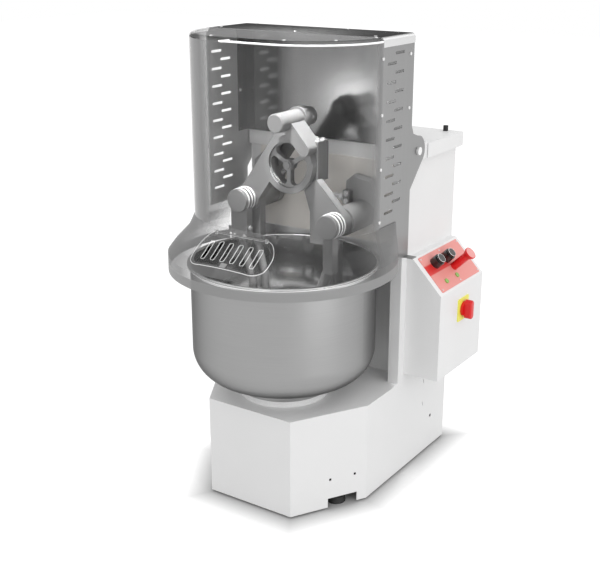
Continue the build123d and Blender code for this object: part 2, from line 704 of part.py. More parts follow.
switch_y = BOX_FRONT + SWITCH_ALONG
plate_out = box_right + SWITCH_PLATE_T
with BuildPart() as switch_plate:
    with BuildSketch(flank(box_right)):
        with Locations((switch_y, SWITCH_Z)):
            RectangleRounded(SWITCH_PLATE, SWITCH_PLATE, 4)
            Circle(HANDLE_STEM_R + 0.3, mode=Mode.SUBTRACT)
    extrude(amount=SWITCH_PLATE_T)

with BuildPart() as switch_handle:
    across(switch_y, SWITCH_Z, HANDLE_STEM_R, box_right - 3 * BOX_WALL, plate_out + 1)
    across(switch_y, SWITCH_Z, HANDLE_R, plate_out + 0.4, plate_out + HANDLE_BASE_H)
    with BuildSketch(flank(plate_out + HANDLE_BASE_H)) as grip:
        with Locations((switch_y, SWITCH_Z)):
            SlotOverall(HANDLE_GRIP_L, HANDLE_GRIP_W, rotation=90)
    extrude(grip.sketch, amount=HANDLE_OUT - SWITCH_PLATE_T - HANDLE_BASE_H)
    fillet(switch_handle.faces().sort_by(Axis.X)[-1].edges(), 5)

# Contactors on a rail inside the box
with BuildPart() as contactors:
    rail = (BASE_HALF + BOX_WALL, BASE_HALF + BOX_WALL + RAIL_T)
    block(rail, (BOX_FRONT + RAIL_END, BOX_REAR - RAIL_END), (RAIL_Z - RAIL_H / 2, RAIL_Z + RAIL_H / 2))
    for place in range(3):
        start = BOX_FRONT + CONTACTOR_START + CONTACTOR_PITCH * place
        block((rail[1], rail[1] + CONTACTOR_DEEP), (start, start + CONTACTOR_W),
              (RAIL_Z - CONTACTOR_H / 2, RAIL_Z + CONTACTOR_H / 2))

# Screws of the lid, the rear cover and the control panel
with BuildPart() as case_screws:
    screw_low = cover_low + COVER_SCREW_INSET
    screw_high = cover_high - COVER_SCREW_INSET
    for screw_x in (COVER_SCREW_INSET - COVER_HALF, COVER_HALF - COVER_SCREW_INSET):
        for screw_z in (screw_low, (screw_low + screw_high) / 2, screw_high):
            deep(screw_x, screw_z, SCREW_HEAD_R, cover_rear, cover_rear + SCREW_HEAD_H)
    screw_reach = panel_long / 2 - PANEL_SEAT
    for along in (panel_middle - screw_reach, panel_middle, panel_middle + screw_reach):
        for down in (PANEL_RIM + PANEL_SEAT, slope_length - PANEL_RIM - PANEL_SEAT):
            peg(along, down, SCREW_HEAD_R / 2, PANEL_PLATE_T, PANEL_PLATE_T + SCREW_HEAD_H / 2)

# Bowl with its rolled rim
with BuildPart() as bowl:
    with BuildSketch(face(0)):
        with BuildLine():
            outer_side = BOWL_R - BOWL_CORNER
            inner_r = BOWL_R - BOWL_WALL
            corner_z = BOWL_BOTTOM + BOWL_CORNER
            Polyline((0, BOWL_BOTTOM), (outer_side, BOWL_BOTTOM))
            CenterArc((outer_side, corner_z), BOWL_CORNER, -90, 90)
            Polyline((BOWL_R, corner_z), (BOWL_R, BOWL_RIM_Z), (inner_r, BOWL_RIM_Z), (inner_r, corner_z))
            CenterArc((outer_side, corner_z), BOWL_CORNER - BOWL_WALL, 0, -90)
            Polyline((outer_side, BOWL_BOTTOM + BOWL_WALL), (0, BOWL_BOTTOM + BOWL_WALL), (0, BOWL_BOTTOM))
        make_face()
        with Locations((BOWL_R + RIM_BEAD / 2, BOWL_RIM_Z)):
            Circle(RIM_BEAD)
    revolve(axis=Axis((AXIS_X, AXIS_Y, 0), (0, 0, 1)))

collar_low = DECK_Z + RING_H + RING_GAP
with BuildPart() as bowl_collar:
    upright(0, 0, COLLAR_R, collar_low, BOWL_BOTTOM)
    upright(0, 0, COLLAR_R - COLLAR_WALL, collar_low, BOWL_BOTTOM - COLLAR_WALL, Mode.SUBTRACT)
    upright(0, 0, COLLAR_HUB_R, collar_low, BOWL_BOTTOM)
    upright(0, 0, BOWL_SHAFT_R + FIT, collar_low, BOWL_BOTTOM, Mode.SUBTRACT)

with BuildPart() as deck_ring:
    upright(0, 0, RING_R, DECK_Z, DECK_Z + RING_H)
    upright(0, 0, RING_R - RING_W, DECK_Z, DECK_Z + RING_H, Mode.SUBTRACT)

housing_top = DECK_Z - SHEET
with BuildPart() as bowl_bearing:
    upright(0, 0, BOWL_FLANGE_R, housing_top - BOWL_FLANGE_T, housing_top)
    upright(0, 0, BOWL_HOUSING_R, BOWL_HOUSING_LOW, housing_top)
    upright(0, 0, BOWL_SHAFT_R + FIT, BOWL_HOUSING_LOW, housing_top, Mode.SUBTRACT)

bowl_pulley_high = BOWL_PULLEY_LOW + PULLEY_W
with BuildPart() as bowl_shaft:
    upright(0, 0, BOWL_PULLEY_R, BOWL_PULLEY_LOW, bowl_pulley_high)
    with BuildSketch(level(BOWL_PULLEY_LOW)) as lightening:
        with PolarLocations((BOWL_PULLEY_R + BOWL_SHAFT_R) / 2, 6):
            Circle((BOWL_PULLEY_R - BOWL_SHAFT_R) / 4)
    extrude(lightening.sketch, amount=PULLEY_W, mode=Mode.SUBTRACT)
    upright(0, 0, BOWL_SHAFT_R, BOWL_PULLEY_LOW - 6, BOWL_BOTTOM)


def belt_loop(plane, pulleys, width):
    """Endless flat belt round a set of pulleys, given as (x, y, radius) on the plane."""
    with BuildSketch(plane) as outside:
        for x, y, radius in pulleys:
            with Locations((x, y)):
                Circle(radius + BELT_GAP + BELT_T)
        make_hull()
    with BuildSketch(plane) as inside:
        for x, y, radius in pulleys:
            with Locations((x, y)):
                Circle(radius + BELT_GAP)
        make_hull()
    extrude(outside.sketch, amount=width)
    extrude(inside.sketch, amount=width, mode=Mode.SUBTRACT)


with BuildPart() as bowl_belt:
    belt_loop(level(BOWL_PULLEY_LOW + (PULLEY_W - BELT_W) / 2),
              [(0, 0, BOWL_PULLEY_R), (0, bowl_drive_y, BOWL_DRIVE_PULLEY_R)], BELT_W)

with BuildPart() as crank_belt:
    belt_loop(face(pulley_front + (PULLEY_W + BELT_W) / 2),
              [(*left_axis, PULLEY_R), (*right_axis, PULLEY_R), (0, OUTPUT_Z, PULLEY_R)], BELT_W)

# Reducer, motor and the two output shafts
reducer_low = SHELF_Z + SHELF_T
output_inside = 50
with BuildPart() as gear_reducer:
    block((-REDUCER_HALF, REDUCER_HALF), (reducer_front, reducer_rear), (reducer_low, REDUCER_TOP))
    fillet(gear_reducer.edges().filter_by(Axis.Z), 14)
    deep(0, OUTPUT_Z, OUTPUT_R + FIT, reducer_front, reducer_front + output_inside, Mode.SUBTRACT)
    upright(0, bowl_drive_y, OUTPUT_R + FIT, reducer_low, reducer_low + output_inside, Mode.SUBTRACT)

with BuildPart() as motor:
    across(bowl_drive_y, OUTPUT_Z, MOTOR_R, REDUCER_HALF, REDUCER_HALF + motor_l)
    fillet(motor.faces().sort_by(Axis.X)[-1].edges(), 12)

pulley_rear = pulley_front + PULLEY_W
with BuildPart() as drive_pulley:
    deep(0, OUTPUT_Z, PULLEY_R, pulley_front, pulley_rear)
    deep(0, OUTPUT_Z, OUTPUT_R, pulley_front, reducer_front + output_inside - 2)

with BuildPart() as bowl_drive_shaft:
    upright(0, bowl_drive_y, BOWL_DRIVE_PULLEY_R, BOWL_PULLEY_LOW, bowl_pulley_high)
    upright(0, bowl_drive_y, OUTPUT_R, BOWL_PULLEY_LOW, reducer_low + output_inside - 2)


def crank(elbow, axis, pin_front):
    """One crank: shaft, cheek with its leaning counterweight, and the pin that the arm turns on."""
    shoulder = COUNTERWEIGHT_R * 0.45
    lean = math.radians(COUNTERWEIGHT_LEAN)
    outline = [
        (-COUNTERWEIGHT_HALF, -CRANK_WEB_R / 2), (COUNTERWEIGHT_HALF, -CRANK_WEB_R / 2),
        (COUNTERWEIGHT_HALF, shoulder), (COUNTERWEIGHT_HALF / 3, COUNTERWEIGHT_R),
        (-COUNTERWEIGHT_HALF / 3, COUNTERWEIGHT_R), (-COUNTERWEIGHT_HALF, shoulder)]
    corners = [(axis[0] + x * math.cos(lean) - z * math.sin(lean),
                axis[1] + x * math.sin(lean) + z * math.cos(lean)) for x, z in outline]
    with BuildPart() as cheek:
        plate(corners, CRANK_WEB_FRONT, CRANK_WEB_REAR)
        chamfer(cheek.faces().sort_by(Axis.Y)[0].edges(), COUNTERWEIGHT_BEVEL)
    with BuildPart() as forging:
        add(cheek.part)
        strap(elbow, axis, CRANK_WEB_R, CRANK_WEB_FRONT, CRANK_WEB_REAR)
        deep(*axis, CRANK_SHAFT_R, CRANK_WEB_REAR, pulley_rear + 4)
        deep(*elbow, CRANK_PIN_R, pin_front, CRANK_WEB_FRONT)
    return forging


def crank_pulley(axis):
    """Flat-belt pulley on a crank's shaft."""
    with BuildPart() as wheel:
        deep(*axis, PULLEY_R, pulley_front, pulley_rear)
        deep(*axis, CRANK_SHAFT_R + FIT, pulley_front, pulley_rear, Mode.SUBTRACT)
    return wheel


left_elbow = (LEFT_ELBOW_X, LEFT_ELBOW_Z)
right_elbow = (RIGHT_ELBOW_X, RIGHT_ELBOW_Z)
left_pin_front = LEFT_ELBOW_FRONT + PIN_NOSE
right_pin_front = RIGHT_ELBOW_FRONT + PIN_NOSE
left_crank = crank(left_elbow, left_axis, left_pin_front)
right_crank = crank(right_elbow, right_axis, right_pin_front)
left_crank_pulley = crank_pulley(left_axis)
right_crank_pulley = crank_pulley(right_axis)


def elbow_hub(elbow, front):
    """Grooved elbow boss of an arm."""
    deep(*elbow, ELBOW_R, front, ELBOW_REAR)
    deep(*elbow, BARREL_R, ARM_LAYER + ARM_GAP, ELBOW_REAR)
    for groove in (1, 2):
        start = front + groove * GROOVE_PITCH
        with BuildSketch(face(start + GROOVE_W)) as ring:
            with Locations(elbow):
                Circle(ELBOW_R)
                Circle(ELBOW_R - GROOVE_D, mode=Mode.SUBTRACT)
        extrude(ring.sketch, amount=GROOVE_W, mode=Mode.SUBTRACT)


def elbow_bore(elbow, pin_front):
    """Blind bore from the rear for the crank pin."""
    deep(*elbow, CRANK_PIN_R + FIT, pin_front - 1, ELBOW_REAR, Mode.SUBTRACT)


def stub(x, y, width, low, high):
    """Square post under an elbow that takes one end of a kneading tool."""
    block((x - width / 2, x + width / 2), (y - STUB_T / 2, y + STUB_T / 2), (low, high))


# Left arm: straight bar behind the ring, from the apex to the left elbow, with two stubs for its tool
apex = (0, APEX_Z)
left_layer = ARM_LAYER + ARM_GAP
left_layer_rear = left_layer + LEFT_BAR_T
left_front_tine = LEFT_ELBOW_FRONT + STUB_T / 2 + 1
left_rear_tine = left_front_tine + TOOL_SPAN
with BuildPart() as left_arm:
    strap(apex, left_elbow, LEFT_BAR_HALF, left_layer, left_layer_rear)
    deep(*apex, APEX_BOSS_R, left_layer, APEX_REAR)
    elbow_hub(left_elbow, LEFT_ELBOW_FRONT)
    stub(LEFT_ELBOW_X, left_front_tine, LEFT_STUB_W, LEFT_STUB_LOW, LEFT_ELBOW_Z)
    stub(LEFT_ELBOW_X + LEFT_TINE_SHIFT, left_rear_tine, LEFT_STUB_W, LEFT_STUB_LOW, LEFT_ELBOW_Z)
    elbow_bore(left_elbow, left_pin_front)
    deep(*apex, APEX_SHAFT_R + FIT, left_layer, APEX_REAR, Mode.SUBTRACT)

# Right arm: front boss, web, ring, block behind the ring, plate to the right elbow, stubs for its tool
ring_centre = (0, RING_CENTRE_Z)
plate_front = ARM_LAYER - PLATE_T
right_front_tine = RIGHT_ELBOW_FRONT + STUB_T / 2 + 1
right_rear_tine = right_front_tine + TOOL_SPAN
with BuildPart() as right_arm:
    deep(*apex, APEX_BOSS_R, APEX_FRONT, ARM_LAYER)
    chamfer(right_arm.faces().sort_by(Axis.Y)[0].edges(), APEX_BEVEL)
    deep(*ring_centre, ARM_RING_R, ARM_RING_FRONT, ARM_LAYER)
    web_foot = ((BLOCK_LEFT + BLOCK_RIGHT) / 2, BLOCK_HIGH - WEB_HALF)
    strap(apex, web_foot, WEB_HALF, ARM_LAYER - WEB_T, ARM_LAYER)
    block((BLOCK_LEFT, BLOCK_RIGHT), (BLOCK_FRONT, BLOCK_REAR), (BLOCK_LOW, BLOCK_HIGH))
    plate([(ARM_RING_R * 0.5, RING_CENTRE_Z - ARM_RING_R * 0.7), (BLOCK_RIGHT, BLOCK_LOW + PLATE_T / 4),
           (RIGHT_ELBOW_X + ELBOW_R * 0.75, RIGHT_ELBOW_Z + ELBOW_R * 0.66),
           (RIGHT_ELBOW_X - ELBOW_R / 2, RIGHT_ELBOW_Z - ELBOW_R), (RIGHT_ELBOW_X - ELBOW_R * 0.7, PLATE_LOW),
           (PLATE_LEFT, PLATE_LOW), (PLATE_LEFT, PLATE_SHOULDER)], plate_front, ARM_LAYER)
    elbow_hub(right_elbow, RIGHT_ELBOW_FRONT)
    deep(*ring_centre, ARM_RING_BORE, ARM_RING_FRONT, BLOCK_REAR, Mode.SUBTRACT)
    stub(RIGHT_ELBOW_X, right_front_tine, RIGHT_STUB_W, RIGHT_STUB_LOW, RIGHT_ELBOW_Z)
    stub(RIGHT_ELBOW_X - RIGHT_TINE_SHIFT, right_rear_tine, RIGHT_STUB_W, RIGHT_STUB_LOW, RIGHT_ELBOW_Z)
    elbow_bore(right_elbow, right_pin_front)
    apex_bottom = APEX_FRONT + APEX_CAP_T
    deep(*apex, APEX_SHAFT_R + FIT, apex_bottom, ARM_LAYER, Mode.SUBTRACT)

with BuildPart() as apex_shaft:
    deep(*apex, APEX_SHAFT_R, apex_bottom + FIT, APEX_REAR)

with BuildPart() as left_elbow_cap:
    deep(*left_elbow, ELBOW_R, LEFT_ELBOW_FRONT - ELBOW_CAP_T, LEFT_ELBOW_FRONT)
    fillet(left_elbow_cap.faces().sort_by(Axis.Y)[0].edges(), 2)

with BuildPart() as right_elbow_cap:
    deep(*right_elbow, ELBOW_R, RIGHT_ELBOW_FRONT - ELBOW_CAP_T, RIGHT_ELBOW_FRONT)
    fillet(right_elbow_cap.faces().sort_by(Axis.Y)[0].edges(), 2)

# Three-legged spider in the ring, with its centre bolt
spider_rear = SPIDER_FRONT + SPIDER_T
with BuildPart() as ring_spider:
    with BuildSketch(face(spider_rear)) as star:
        with Locations(ring_centre):
            Circle(ARM_RING_BORE - 0.2)
            Circle(ARM_RING_BORE - 0.2 - SPIDER_RIM_W, mode=Mode.SUBTRACT)
            Circle(SPIDER_HUB_R)
        leg = ARM_RING_BORE - SPIDER_RIM_W
        for turn in (-90, 30, 150):
            heading = math.radians(turn)
            with Locations((leg / 2 * math.cos(heading), RING_CENTRE_Z + leg / 2 * math.sin(heading))):
                Rectangle(leg, SPIDER_LEG_W, rotation=turn)
        roots = star.vertices().filter_by(lambda root: math.hypot(root.X, root.Y - RING_CENTRE_Z) < leg + 1)
        fillet(roots, SPIDER_FILLET)
    extrude(amount=SPIDER_T)
    deep(*ring_centre, SPIDER_BOLT_R, SPIDER_FRONT - 6, spider_rear)


def tool(elbow_x, inward, front_y, shift, stub_w, stub_low):
    """Kneading fork: one round bar bent into a U that hangs in the bowl and leans towards its middle."""
    top = stub_low - TOOL_FLANGE_T - TOOL_TOP_GAP
    lower_x = elbow_x + inward * TOOL_LEAN
    rear_x = elbow_x + inward * shift
    rear_low_x = rear_x + inward * TOOL_LEAN
    rear_y = front_y + TOOL_SPAN
    with BuildPart() as fork:
        with BuildLine() as route:
            FilletPolyline(
                (AXIS_X + elbow_x, AXIS_Y + front_y, top),
                (AXIS_X + lower_x, AXIS_Y + front_y, TOOL_KNEE_Z),
                (AXIS_X + lower_x, AXIS_Y + front_y, TOOL_LOW),
                (AXIS_X + rear_low_x, AXIS_Y + rear_y, TOOL_LOW),
                (AXIS_X + rear_low_x, AXIS_Y + rear_y, TOOL_KNEE_Z),
                (AXIS_X + rear_x, AXIS_Y + rear_y, top),
                radius=TOOL_BEND)
        with BuildSketch(Plane(origin=route.line @ 0, z_dir=route.line % 0)) as section:
            Circle(TOOL_R)
        sweep(section.sketch, path=route.line)
        for tine_x, tine_y in ((elbow_x, front_y), (rear_x, rear_y)):
            stub(tine_x, tine_y, stub_w, top - TOOL_R, stub_low - TOOL_TOP_GAP)
    return fork


left_tool = tool(LEFT_ELBOW_X, 1, left_front_tine, LEFT_TINE_SHIFT, LEFT_STUB_W, LEFT_STUB_LOW)
right_tool = tool(RIGHT_ELBOW_X, -1, right_front_tine, RIGHT_TINE_SHIFT, RIGHT_STUB_W, RIGHT_STUB_LOW)

with BuildPart() as left_tool_bolts:
    post_front = left_front_tine - STUB_T / 2
    for bolt_x in (LEFT_ELBOW_X - LEFT_STUB_W / 3, LEFT_ELBOW_X + LEFT_STUB_W / 3):
        deep(bolt_x, LEFT_STUB_LOW - TOOL_BOLT_DROP, TOOL_BOLT_HEAD_R, post_front - TOOL_BOLT_HEAD_H,
             post_front)
    for hand in (1, -1):
        side = LEFT_ELBOW_X + hand * LEFT_STUB_W / 2
        head = sorted((side, side + hand * TOOL_BOLT_HEAD_H))
        across(left_front_tine, LEFT_STUB_LOW + TOOL_BOLT_RISE, TOOL_BOLT_HEAD_R, *head)


# Guard: slotted stainless sides with the hinge lugs
def guard_side(hand):
    """One side sheet, with its lug round the hinge bolt and two staggered columns of slots."""
    inner = min(hand * GUARD_HALF, hand * side_outer)
    with BuildPart() as sheet:
        with BuildSketch(flank(inner)):
            with BuildLine():
                Polyline(
                    (GUARD_SIDE_FRONT, guard_step_z), (GUARD_LEG_FRONT - GUARD_STEP_CORNER, guard_step_z),
                    (GUARD_LEG_FRONT, guard_step_z - GUARD_STEP_CORNER), (GUARD_LEG_FRONT, guard_side_low),
                    (GUARD_REAR, guard_side_low), (GUARD_REAR, LUG_LOW_Z),
                    (HINGE_Y + LUG_R * 0.6, HINGE_Z - LUG_R * 0.8), (HINGE_Y, HINGE_Z + LUG_R),
                    (GUARD_REAR + LUG_EASE_Y, LUG_TOP_Z - LUG_EASE_Z), (GUARD_REAR, LUG_TOP_Z),
                    (GUARD_REAR, GUARD_TOP), (GUARD_SIDE_FRONT, GUARD_TOP), close=True)
            make_face()
            with Locations((HINGE_Y, HINGE_Z)):
                Circle(LUG_R)
                Circle(HINGE_PIN_R + FIT, mode=Mode.SUBTRACT)
            shift = 0 if hand > 0 else LEFT_SLOT_SHIFT
            for row in range(SLOT_ROWS):
                with Locations((SLOT_FRONT_Y - shift, slot_top - row * slot_pitch)):
                    SlotOverall(SLOT_L, SLOT_W, mode=Mode.SUBTRACT)
            for row in range(SLOT_ROWS):
                with Locations((SLOT_REAR_Y - shift, slot_top + slot_pitch / 2 - row * slot_pitch)):
                    SlotOverall(SLOT_L, SLOT_W, mode=Mode.SUBTRACT)
        extrude(amount=GUARD_SHEET)
        band_inner = math.sqrt((HOOP_R - SCREEN_T) ** 2 - SKIRT_REAR ** 2) - SCREEN_GAP
        bracket = sorted((hand * side_outer, hand * band_inner))
        block(bracket, (GUARD_LEG_FRONT, SKIRT_REAR), (guard_side_low, hoop_high - BRACKET_MARGIN / 2))
        if hand > 0:
            block((side_outer, side_outer + TAB_OUT), (GUARD_REAR - TAB_L, GUARD_REAR),
                  (guard_side_low, guard_side_low + GUARD_SHEET))
    return sheet


guard_side_right = guard_side(1)
guard_side_left = guard_side(-1)


def cap_section(half, low, top, radius):
    """Upside-down tray seen from the front: a flat top with rounded edges and straight sides."""
    Polyline((-half, top - radius), (-half, low), (half, low), (half, top - radius))
    CenterArc((half - radius, top - radius), radius, 0, 90)
    Line((half - radius, top), (radius - half, top))
    CenterArc((radius - half, top - radius), radius, 90, 90)


cap_top = GUARD_TOP + CAP_R
cap_inner_r = CAP_R - GUARD_SHEET
back_rise = cap_inner_r - FLAP_GAP
with BuildPart() as guard_back:
    with BuildSketch(face(GUARD_REAR)):
        with BuildLine():
            cap_section(GUARD_HALF, GUARD_BACK_LOW, GUARD_TOP + back_rise, back_rise)
        make_face()
    extrude(amount=GUARD_SHEET)
    for hand in (1, -1):
        flange = sorted((hand * (GUARD_HALF - GUARD_SHEET), hand * GUARD_HALF))
        block(flange, (GUARD_REAR - BACK_FLANGE, GUARD_REAR), (GUARD_BACK_LOW, GUARD_TOP))

# Slotted stainless top with rounded edges and flanges down the sides
screen_rear = GUARD_SIDE_FRONT + SCREEN_LAP
screen_half = side_outer + SCREEN_GAP + SCREEN_T
corner_y = GUARD_SIDE_FRONT + SCREEN_LAP / 2
screen_corner = SCREEN_FRONT + corner_y
with BuildPart() as guard_top:
    with BuildSketch(face(GUARD_REAR)):
        with BuildLine():
            cap_section(side_outer + GUARD_SHEET, GUARD_TOP - GUARD_FLANGE, cap_top, CAP_R)
        make_face()
        with BuildLine():
            cap_section(side_outer, GUARD_TOP - GUARD_FLANGE, cap_top - GUARD_SHEET, cap_inner_r)
        make_face(mode=Mode.SUBTRACT)
    extrude(amount=GUARD_REAR - screen_rear)
    with BuildSketch(level(cap_top - GUARD_SHEET)) as top_slots:
        middle = (screen_rear + GUARD_REAR) / 2
        with Locations((0, middle + TOP_SLOT_ROW)):
            with GridLocations(TOP_SLOT_PITCH, 1, 9, 1):
                SlotOverall(TOP_SLOT_L, TOP_SLOT_W)
        with Locations((0, middle - TOP_SLOT_ROW)):
            with GridLocations(TOP_SLOT_PITCH, 1, 8, 1):
                SlotOverall(TOP_SLOT_L, TOP_SLOT_W)
    extrude(top_slots.sketch, amount=GUARD_SHEET, mode=Mode.SUBTRACT)


def screen_plan(rear, inset):
    """Outline of the clear screen in plan: straight sides, wide round corners and a short flat front."""
    half = screen_half - inset
    corner = screen_corner - inset
    flat = half - corner
    front = corner_y - corner
    Line((-half, rear), (-half, corner_y))
    CenterArc((-flat, corner_y), corner, 180, 90)
    Line((-flat, front), (flat, front))
    CenterArc((flat, corner_y), corner, 270, 90)
    Line((half, corner_y), (half, rear))
    Line((half, rear), (-half, rear))


def hoop_plan(rear, inset, side_share, front_share):
    """Outline between the screen's plan, shares 0, and the band's circle, shares 1, in five stretches."""
    half = screen_half - inset
    corner = screen_corner - inset
    flat = half - corner
    hoop = HOOP_R - inset

    def blend(x, y, angle):
        """Point part of the way from the screen's outline to the band's circle."""
        heading = math.radians(angle)
        share = side_share + (front_share - side_share) * min(0.0, math.sin(heading)) ** 2
        return (x + share * (hoop * math.cos(heading) - x), y + share * (hoop * math.sin(heading) - y))

    rear_angle = math.degrees(math.asin(rear / hoop))
    corner_angle = rear_angle - 22
    front_angle = -80
    points = {}
    for hand in (1, -1):
        rear_x = half + side_share * (hoop * math.cos(math.radians(rear_angle)) - half)
        middle = math.radians(-45)
        points[hand] = [
            (hand * rear_x, rear),
            blend(half, (rear + corner_y) / 2, (rear_angle + corner_angle) / 2),
            blend(half, corner_y, corner_angle),
            blend(flat + corner * math.cos(middle), corner_y + corner * math.sin(middle),
                  (corner_angle + front_angle) / 2),
            blend(flat, corner_y - corner, front_angle)]
        points[hand] = [points[hand][0]] + [(hand * x, y) for x, y in points[hand][1:]]
    nose = blend(0, corner_y - corner, -90)
    right, left = points[1], points[-1]
    ThreePointArc(left[0], left[1], left[2])
    ThreePointArc(left[2], left[3], left[4])
    ThreePointArc(left[4], nose, right[4])
    ThreePointArc(right[4], right[3], right[2])
    ThreePointArc(right[2], right[1], right[0])
    Line(right[0], left[0])


with BuildPart() as screen:
    with BuildSketch(level(screen_low)):
        with BuildLine():
            screen_plan(screen_rear, 0)
        make_face()
        with BuildLine():
            screen_plan(screen_rear, SCREEN_T)
        make_face(mode=Mode.SUBTRACT)
    extrude(amount=GUARD_TOP - screen_low)


def screen_cap(inset):
    """Solid form of the clear top: the screen's plan with its upper edge rounded over."""
    with BuildPart() as cap:
        with BuildSketch(level(GUARD_TOP)):
            with BuildLine():
                screen_plan(screen_rear, inset)
            make_face()
        extrude(amount=CAP_R - inset)
        rim = cap.faces().sort_by(Axis.Z)[-1].edges().sort_by(Axis.Y)[:-1]
        fillet(rim, CAP_R - inset - CAP_LIP)
    return cap.part


with BuildPart() as screen_top:
    add(screen_cap(0))
    add(screen_cap(SCREEN_T), mode=Mode.SUBTRACT)


def skirt_form(inset, mode=Mode.ADD):
    """Flared form from the screen's lower edge out to the band and down to its foot."""
    sections = []
    fall = screen_low - hoop_high
    rings = [(screen_low - drop * fall, side, front) for drop, side, front in SKIRT_PROFILE]
    for height, side, front in rings + [(hoop_low, 1.0, 1.0)]:
        with BuildSketch(level(height)) as section:
            with BuildLine():
                hoop_plan(SKIRT_REAR, inset, 0.002 + 0.996 * side, 0.002 + 0.996 * front)
            make_face()
        sections.append(section.sketch)
    loft(sections, ruled=True, mode=mode)


def flap_outline(grow):
    """Prism over the feed opening, seen from above."""
    with BuildSketch(level(hoop_low)) as outline:
        with Locations((0, -(FLAP_REAR + FLAP_FRONT) / 2)):
            RectangleRounded(2 * (FLAP_HALF + grow), FLAP_FRONT - FLAP_REAR + 2 * grow, FLAP_CORNER + grow)
    return outline.sketch


# The flap's hinge lies just above the slope, along its upper edge
spread = HOOP_R - SCREEN_FRONT
drop = screen_low - hoop_high
flap_share = (FLAP_REAR - SCREEN_FRONT) / spread
upper = max(ring for ring in SKIRT_PROFILE if ring[2] <= flap_share)
lower = min(ring for ring in SKIRT_PROFILE if ring[2] > flap_share)
slope_out = (lower[2] - upper[2]) * spread
slope_down = (lower[0] - upper[0]) * drop
slope_size = math.hypot(slope_out, slope_down)
flap_lift = FLAP_BARREL_R + FLAP_GAP
flap_foot_z = screen_low - upper[0] * drop - (flap_share - upper[2]) * spread * slope_down / slope_out
flap_axis_y = -FLAP_REAR - flap_lift * slope_down / slope_size
flap_axis_z = flap_foot_z + flap_lift * slope_out / slope_size
with BuildPart() as skirt:
    skirt_form(0)
    skirt_form(SCREEN_T, Mode.SUBTRACT)
    extrude(flap_outline(-FLAP_LAP), amount=screen_low - hoop_low, mode=Mode.SUBTRACT)

with BuildPart() as feed_flap:
    skirt_form(-FLAP_GAP - FLAP_T)
    skirt_form(-FLAP_GAP, Mode.SUBTRACT)
    extrude(flap_outline(0), amount=screen_low - hoop_low, mode=Mode.INTERSECT)
    with BuildSketch(level(hoop_low)) as flap_slots:
        with Locations((0, -(FLAP_REAR + FLAP_FRONT) / 2)):
            with GridLocations(FLAP_SLOT_PITCH, 1, FLAP_SLOTS, 1):
                SlotOverall(FLAP_SLOT_L, FLAP_SLOT_W, rotation=90)
    extrude(flap_slots.sketch, amount=screen_low - hoop_low, mode=Mode.SUBTRACT)
    for hand in (1, -1):
        slot_end = FLAP_BARREL_HALF + FLAP_LUG_T + 2 * FLAP_LUG_GAP
        lug_slot = sorted((hand * FLAP_BARREL_HALF, hand * slot_end))
        across(flap_axis_y, flap_axis_z, FLAP_LUG_R + 2 * FLAP_LUG_GAP, *lug_slot, Mode.SUBTRACT)
    across(flap_axis_y, flap_axis_z, FLAP_BARREL_R, -FLAP_BARREL_HALF, FLAP_BARREL_HALF)
    across(flap_axis_y, flap_axis_z, FLAP_PIN_R + FIT, -FLAP_BARREL_HALF, FLAP_BARREL_HALF, Mode.SUBTRACT)

# Hinge pin and its two lugs, shaped to the slope
lug_outer = FLAP_BARREL_HALF + FLAP_LUG_GAP + FLAP_LUG_T
with BuildPart() as flap_hinge:
    for hand in (1, -1):
        lug = sorted((hand * (lug_outer - FLAP_LUG_T), hand * lug_outer))
        across(flap_axis_y, flap_axis_z, FLAP_LUG_R, *lug)
    across(flap_axis_y, flap_axis_z, FLAP_PIN_R, -lug_outer, lug_outer)
    skirt_form(-SCREEN_GAP / 3, Mode.SUBTRACT)

with BuildPart() as flap_clasp:
    skirt_form(-FLAP_GAP - FLAP_T - CLASP_T)
    skirt_form(-FLAP_GAP - FLAP_T - SCREEN_GAP / 3, Mode.SUBTRACT)
    with BuildSketch(level(hoop_low)) as clasp_outline:
        with Locations((0, CLASP_MARGIN + CLASP_L / 2 - FLAP_FRONT)):
            RectangleRounded(CLASP_W, CLASP_L, 2)
    extrude(clasp_outline.sketch, amount=screen_low - hoop_low, mode=Mode.INTERSECT)

# Domed screws and rivets of the guard
screw_pitch = (GUARD_TOP - GUARD_SCREW_TOP - screen_low - GUARD_SCREW_LOW) / 3
with BuildPart() as guard_screws:
    for hand in (1, -1):
        lap_face = sorted((hand * screen_half, hand * (screen_half + GUARD_SCREW_H)))
        sheet_face = sorted((hand * side_outer, hand * (side_outer + GUARD_SCREW_H)))
        for screw in range(4):
            lap_z = GUARD_TOP - GUARD_SCREW_TOP - screw * screw_pitch
            across(corner_y + GUARD_SCREW_R / 4, lap_z, GUARD_SCREW_R, *lap_face)
        for screw in range(2):
            rear_z = GUARD_TOP - GUARD_SCREW_TOP - screw * screw_pitch
            across(GUARD_REAR - REAR_SCREW_EDGE, rear_z, GUARD_SCREW_R, *sheet_face)
    rivets = [((rivet - 1.5) * RIVET_PITCH, GUARD_REAR - GUARD_SCREW_EDGE) for rivet in range(4)]
    rivets += [(rivet * MIDDLE_RIVET_X, screen_rear + MIDDLE_RIVET_Y) for rivet in (-1, 0, 1)]
    for hand in (1, -1):
        rivets.append((hand * (screen_half - RIVET_INSET), screen_rear - RIVET_INSET))
        for heading in RIVET_HEADINGS:
            reach = screen_corner - RIVET_INSET
            turn = math.radians(heading)
            rivets.append((hand * (screen_half - screen_corner + reach * math.cos(turn)),
                           corner_y + reach * math.sin(turn)))
    for rivet_x, rivet_y in rivets:
        upright(rivet_x, rivet_y, GUARD_SCREW_R, cap_top, cap_top + GUARD_SCREW_H / 2)

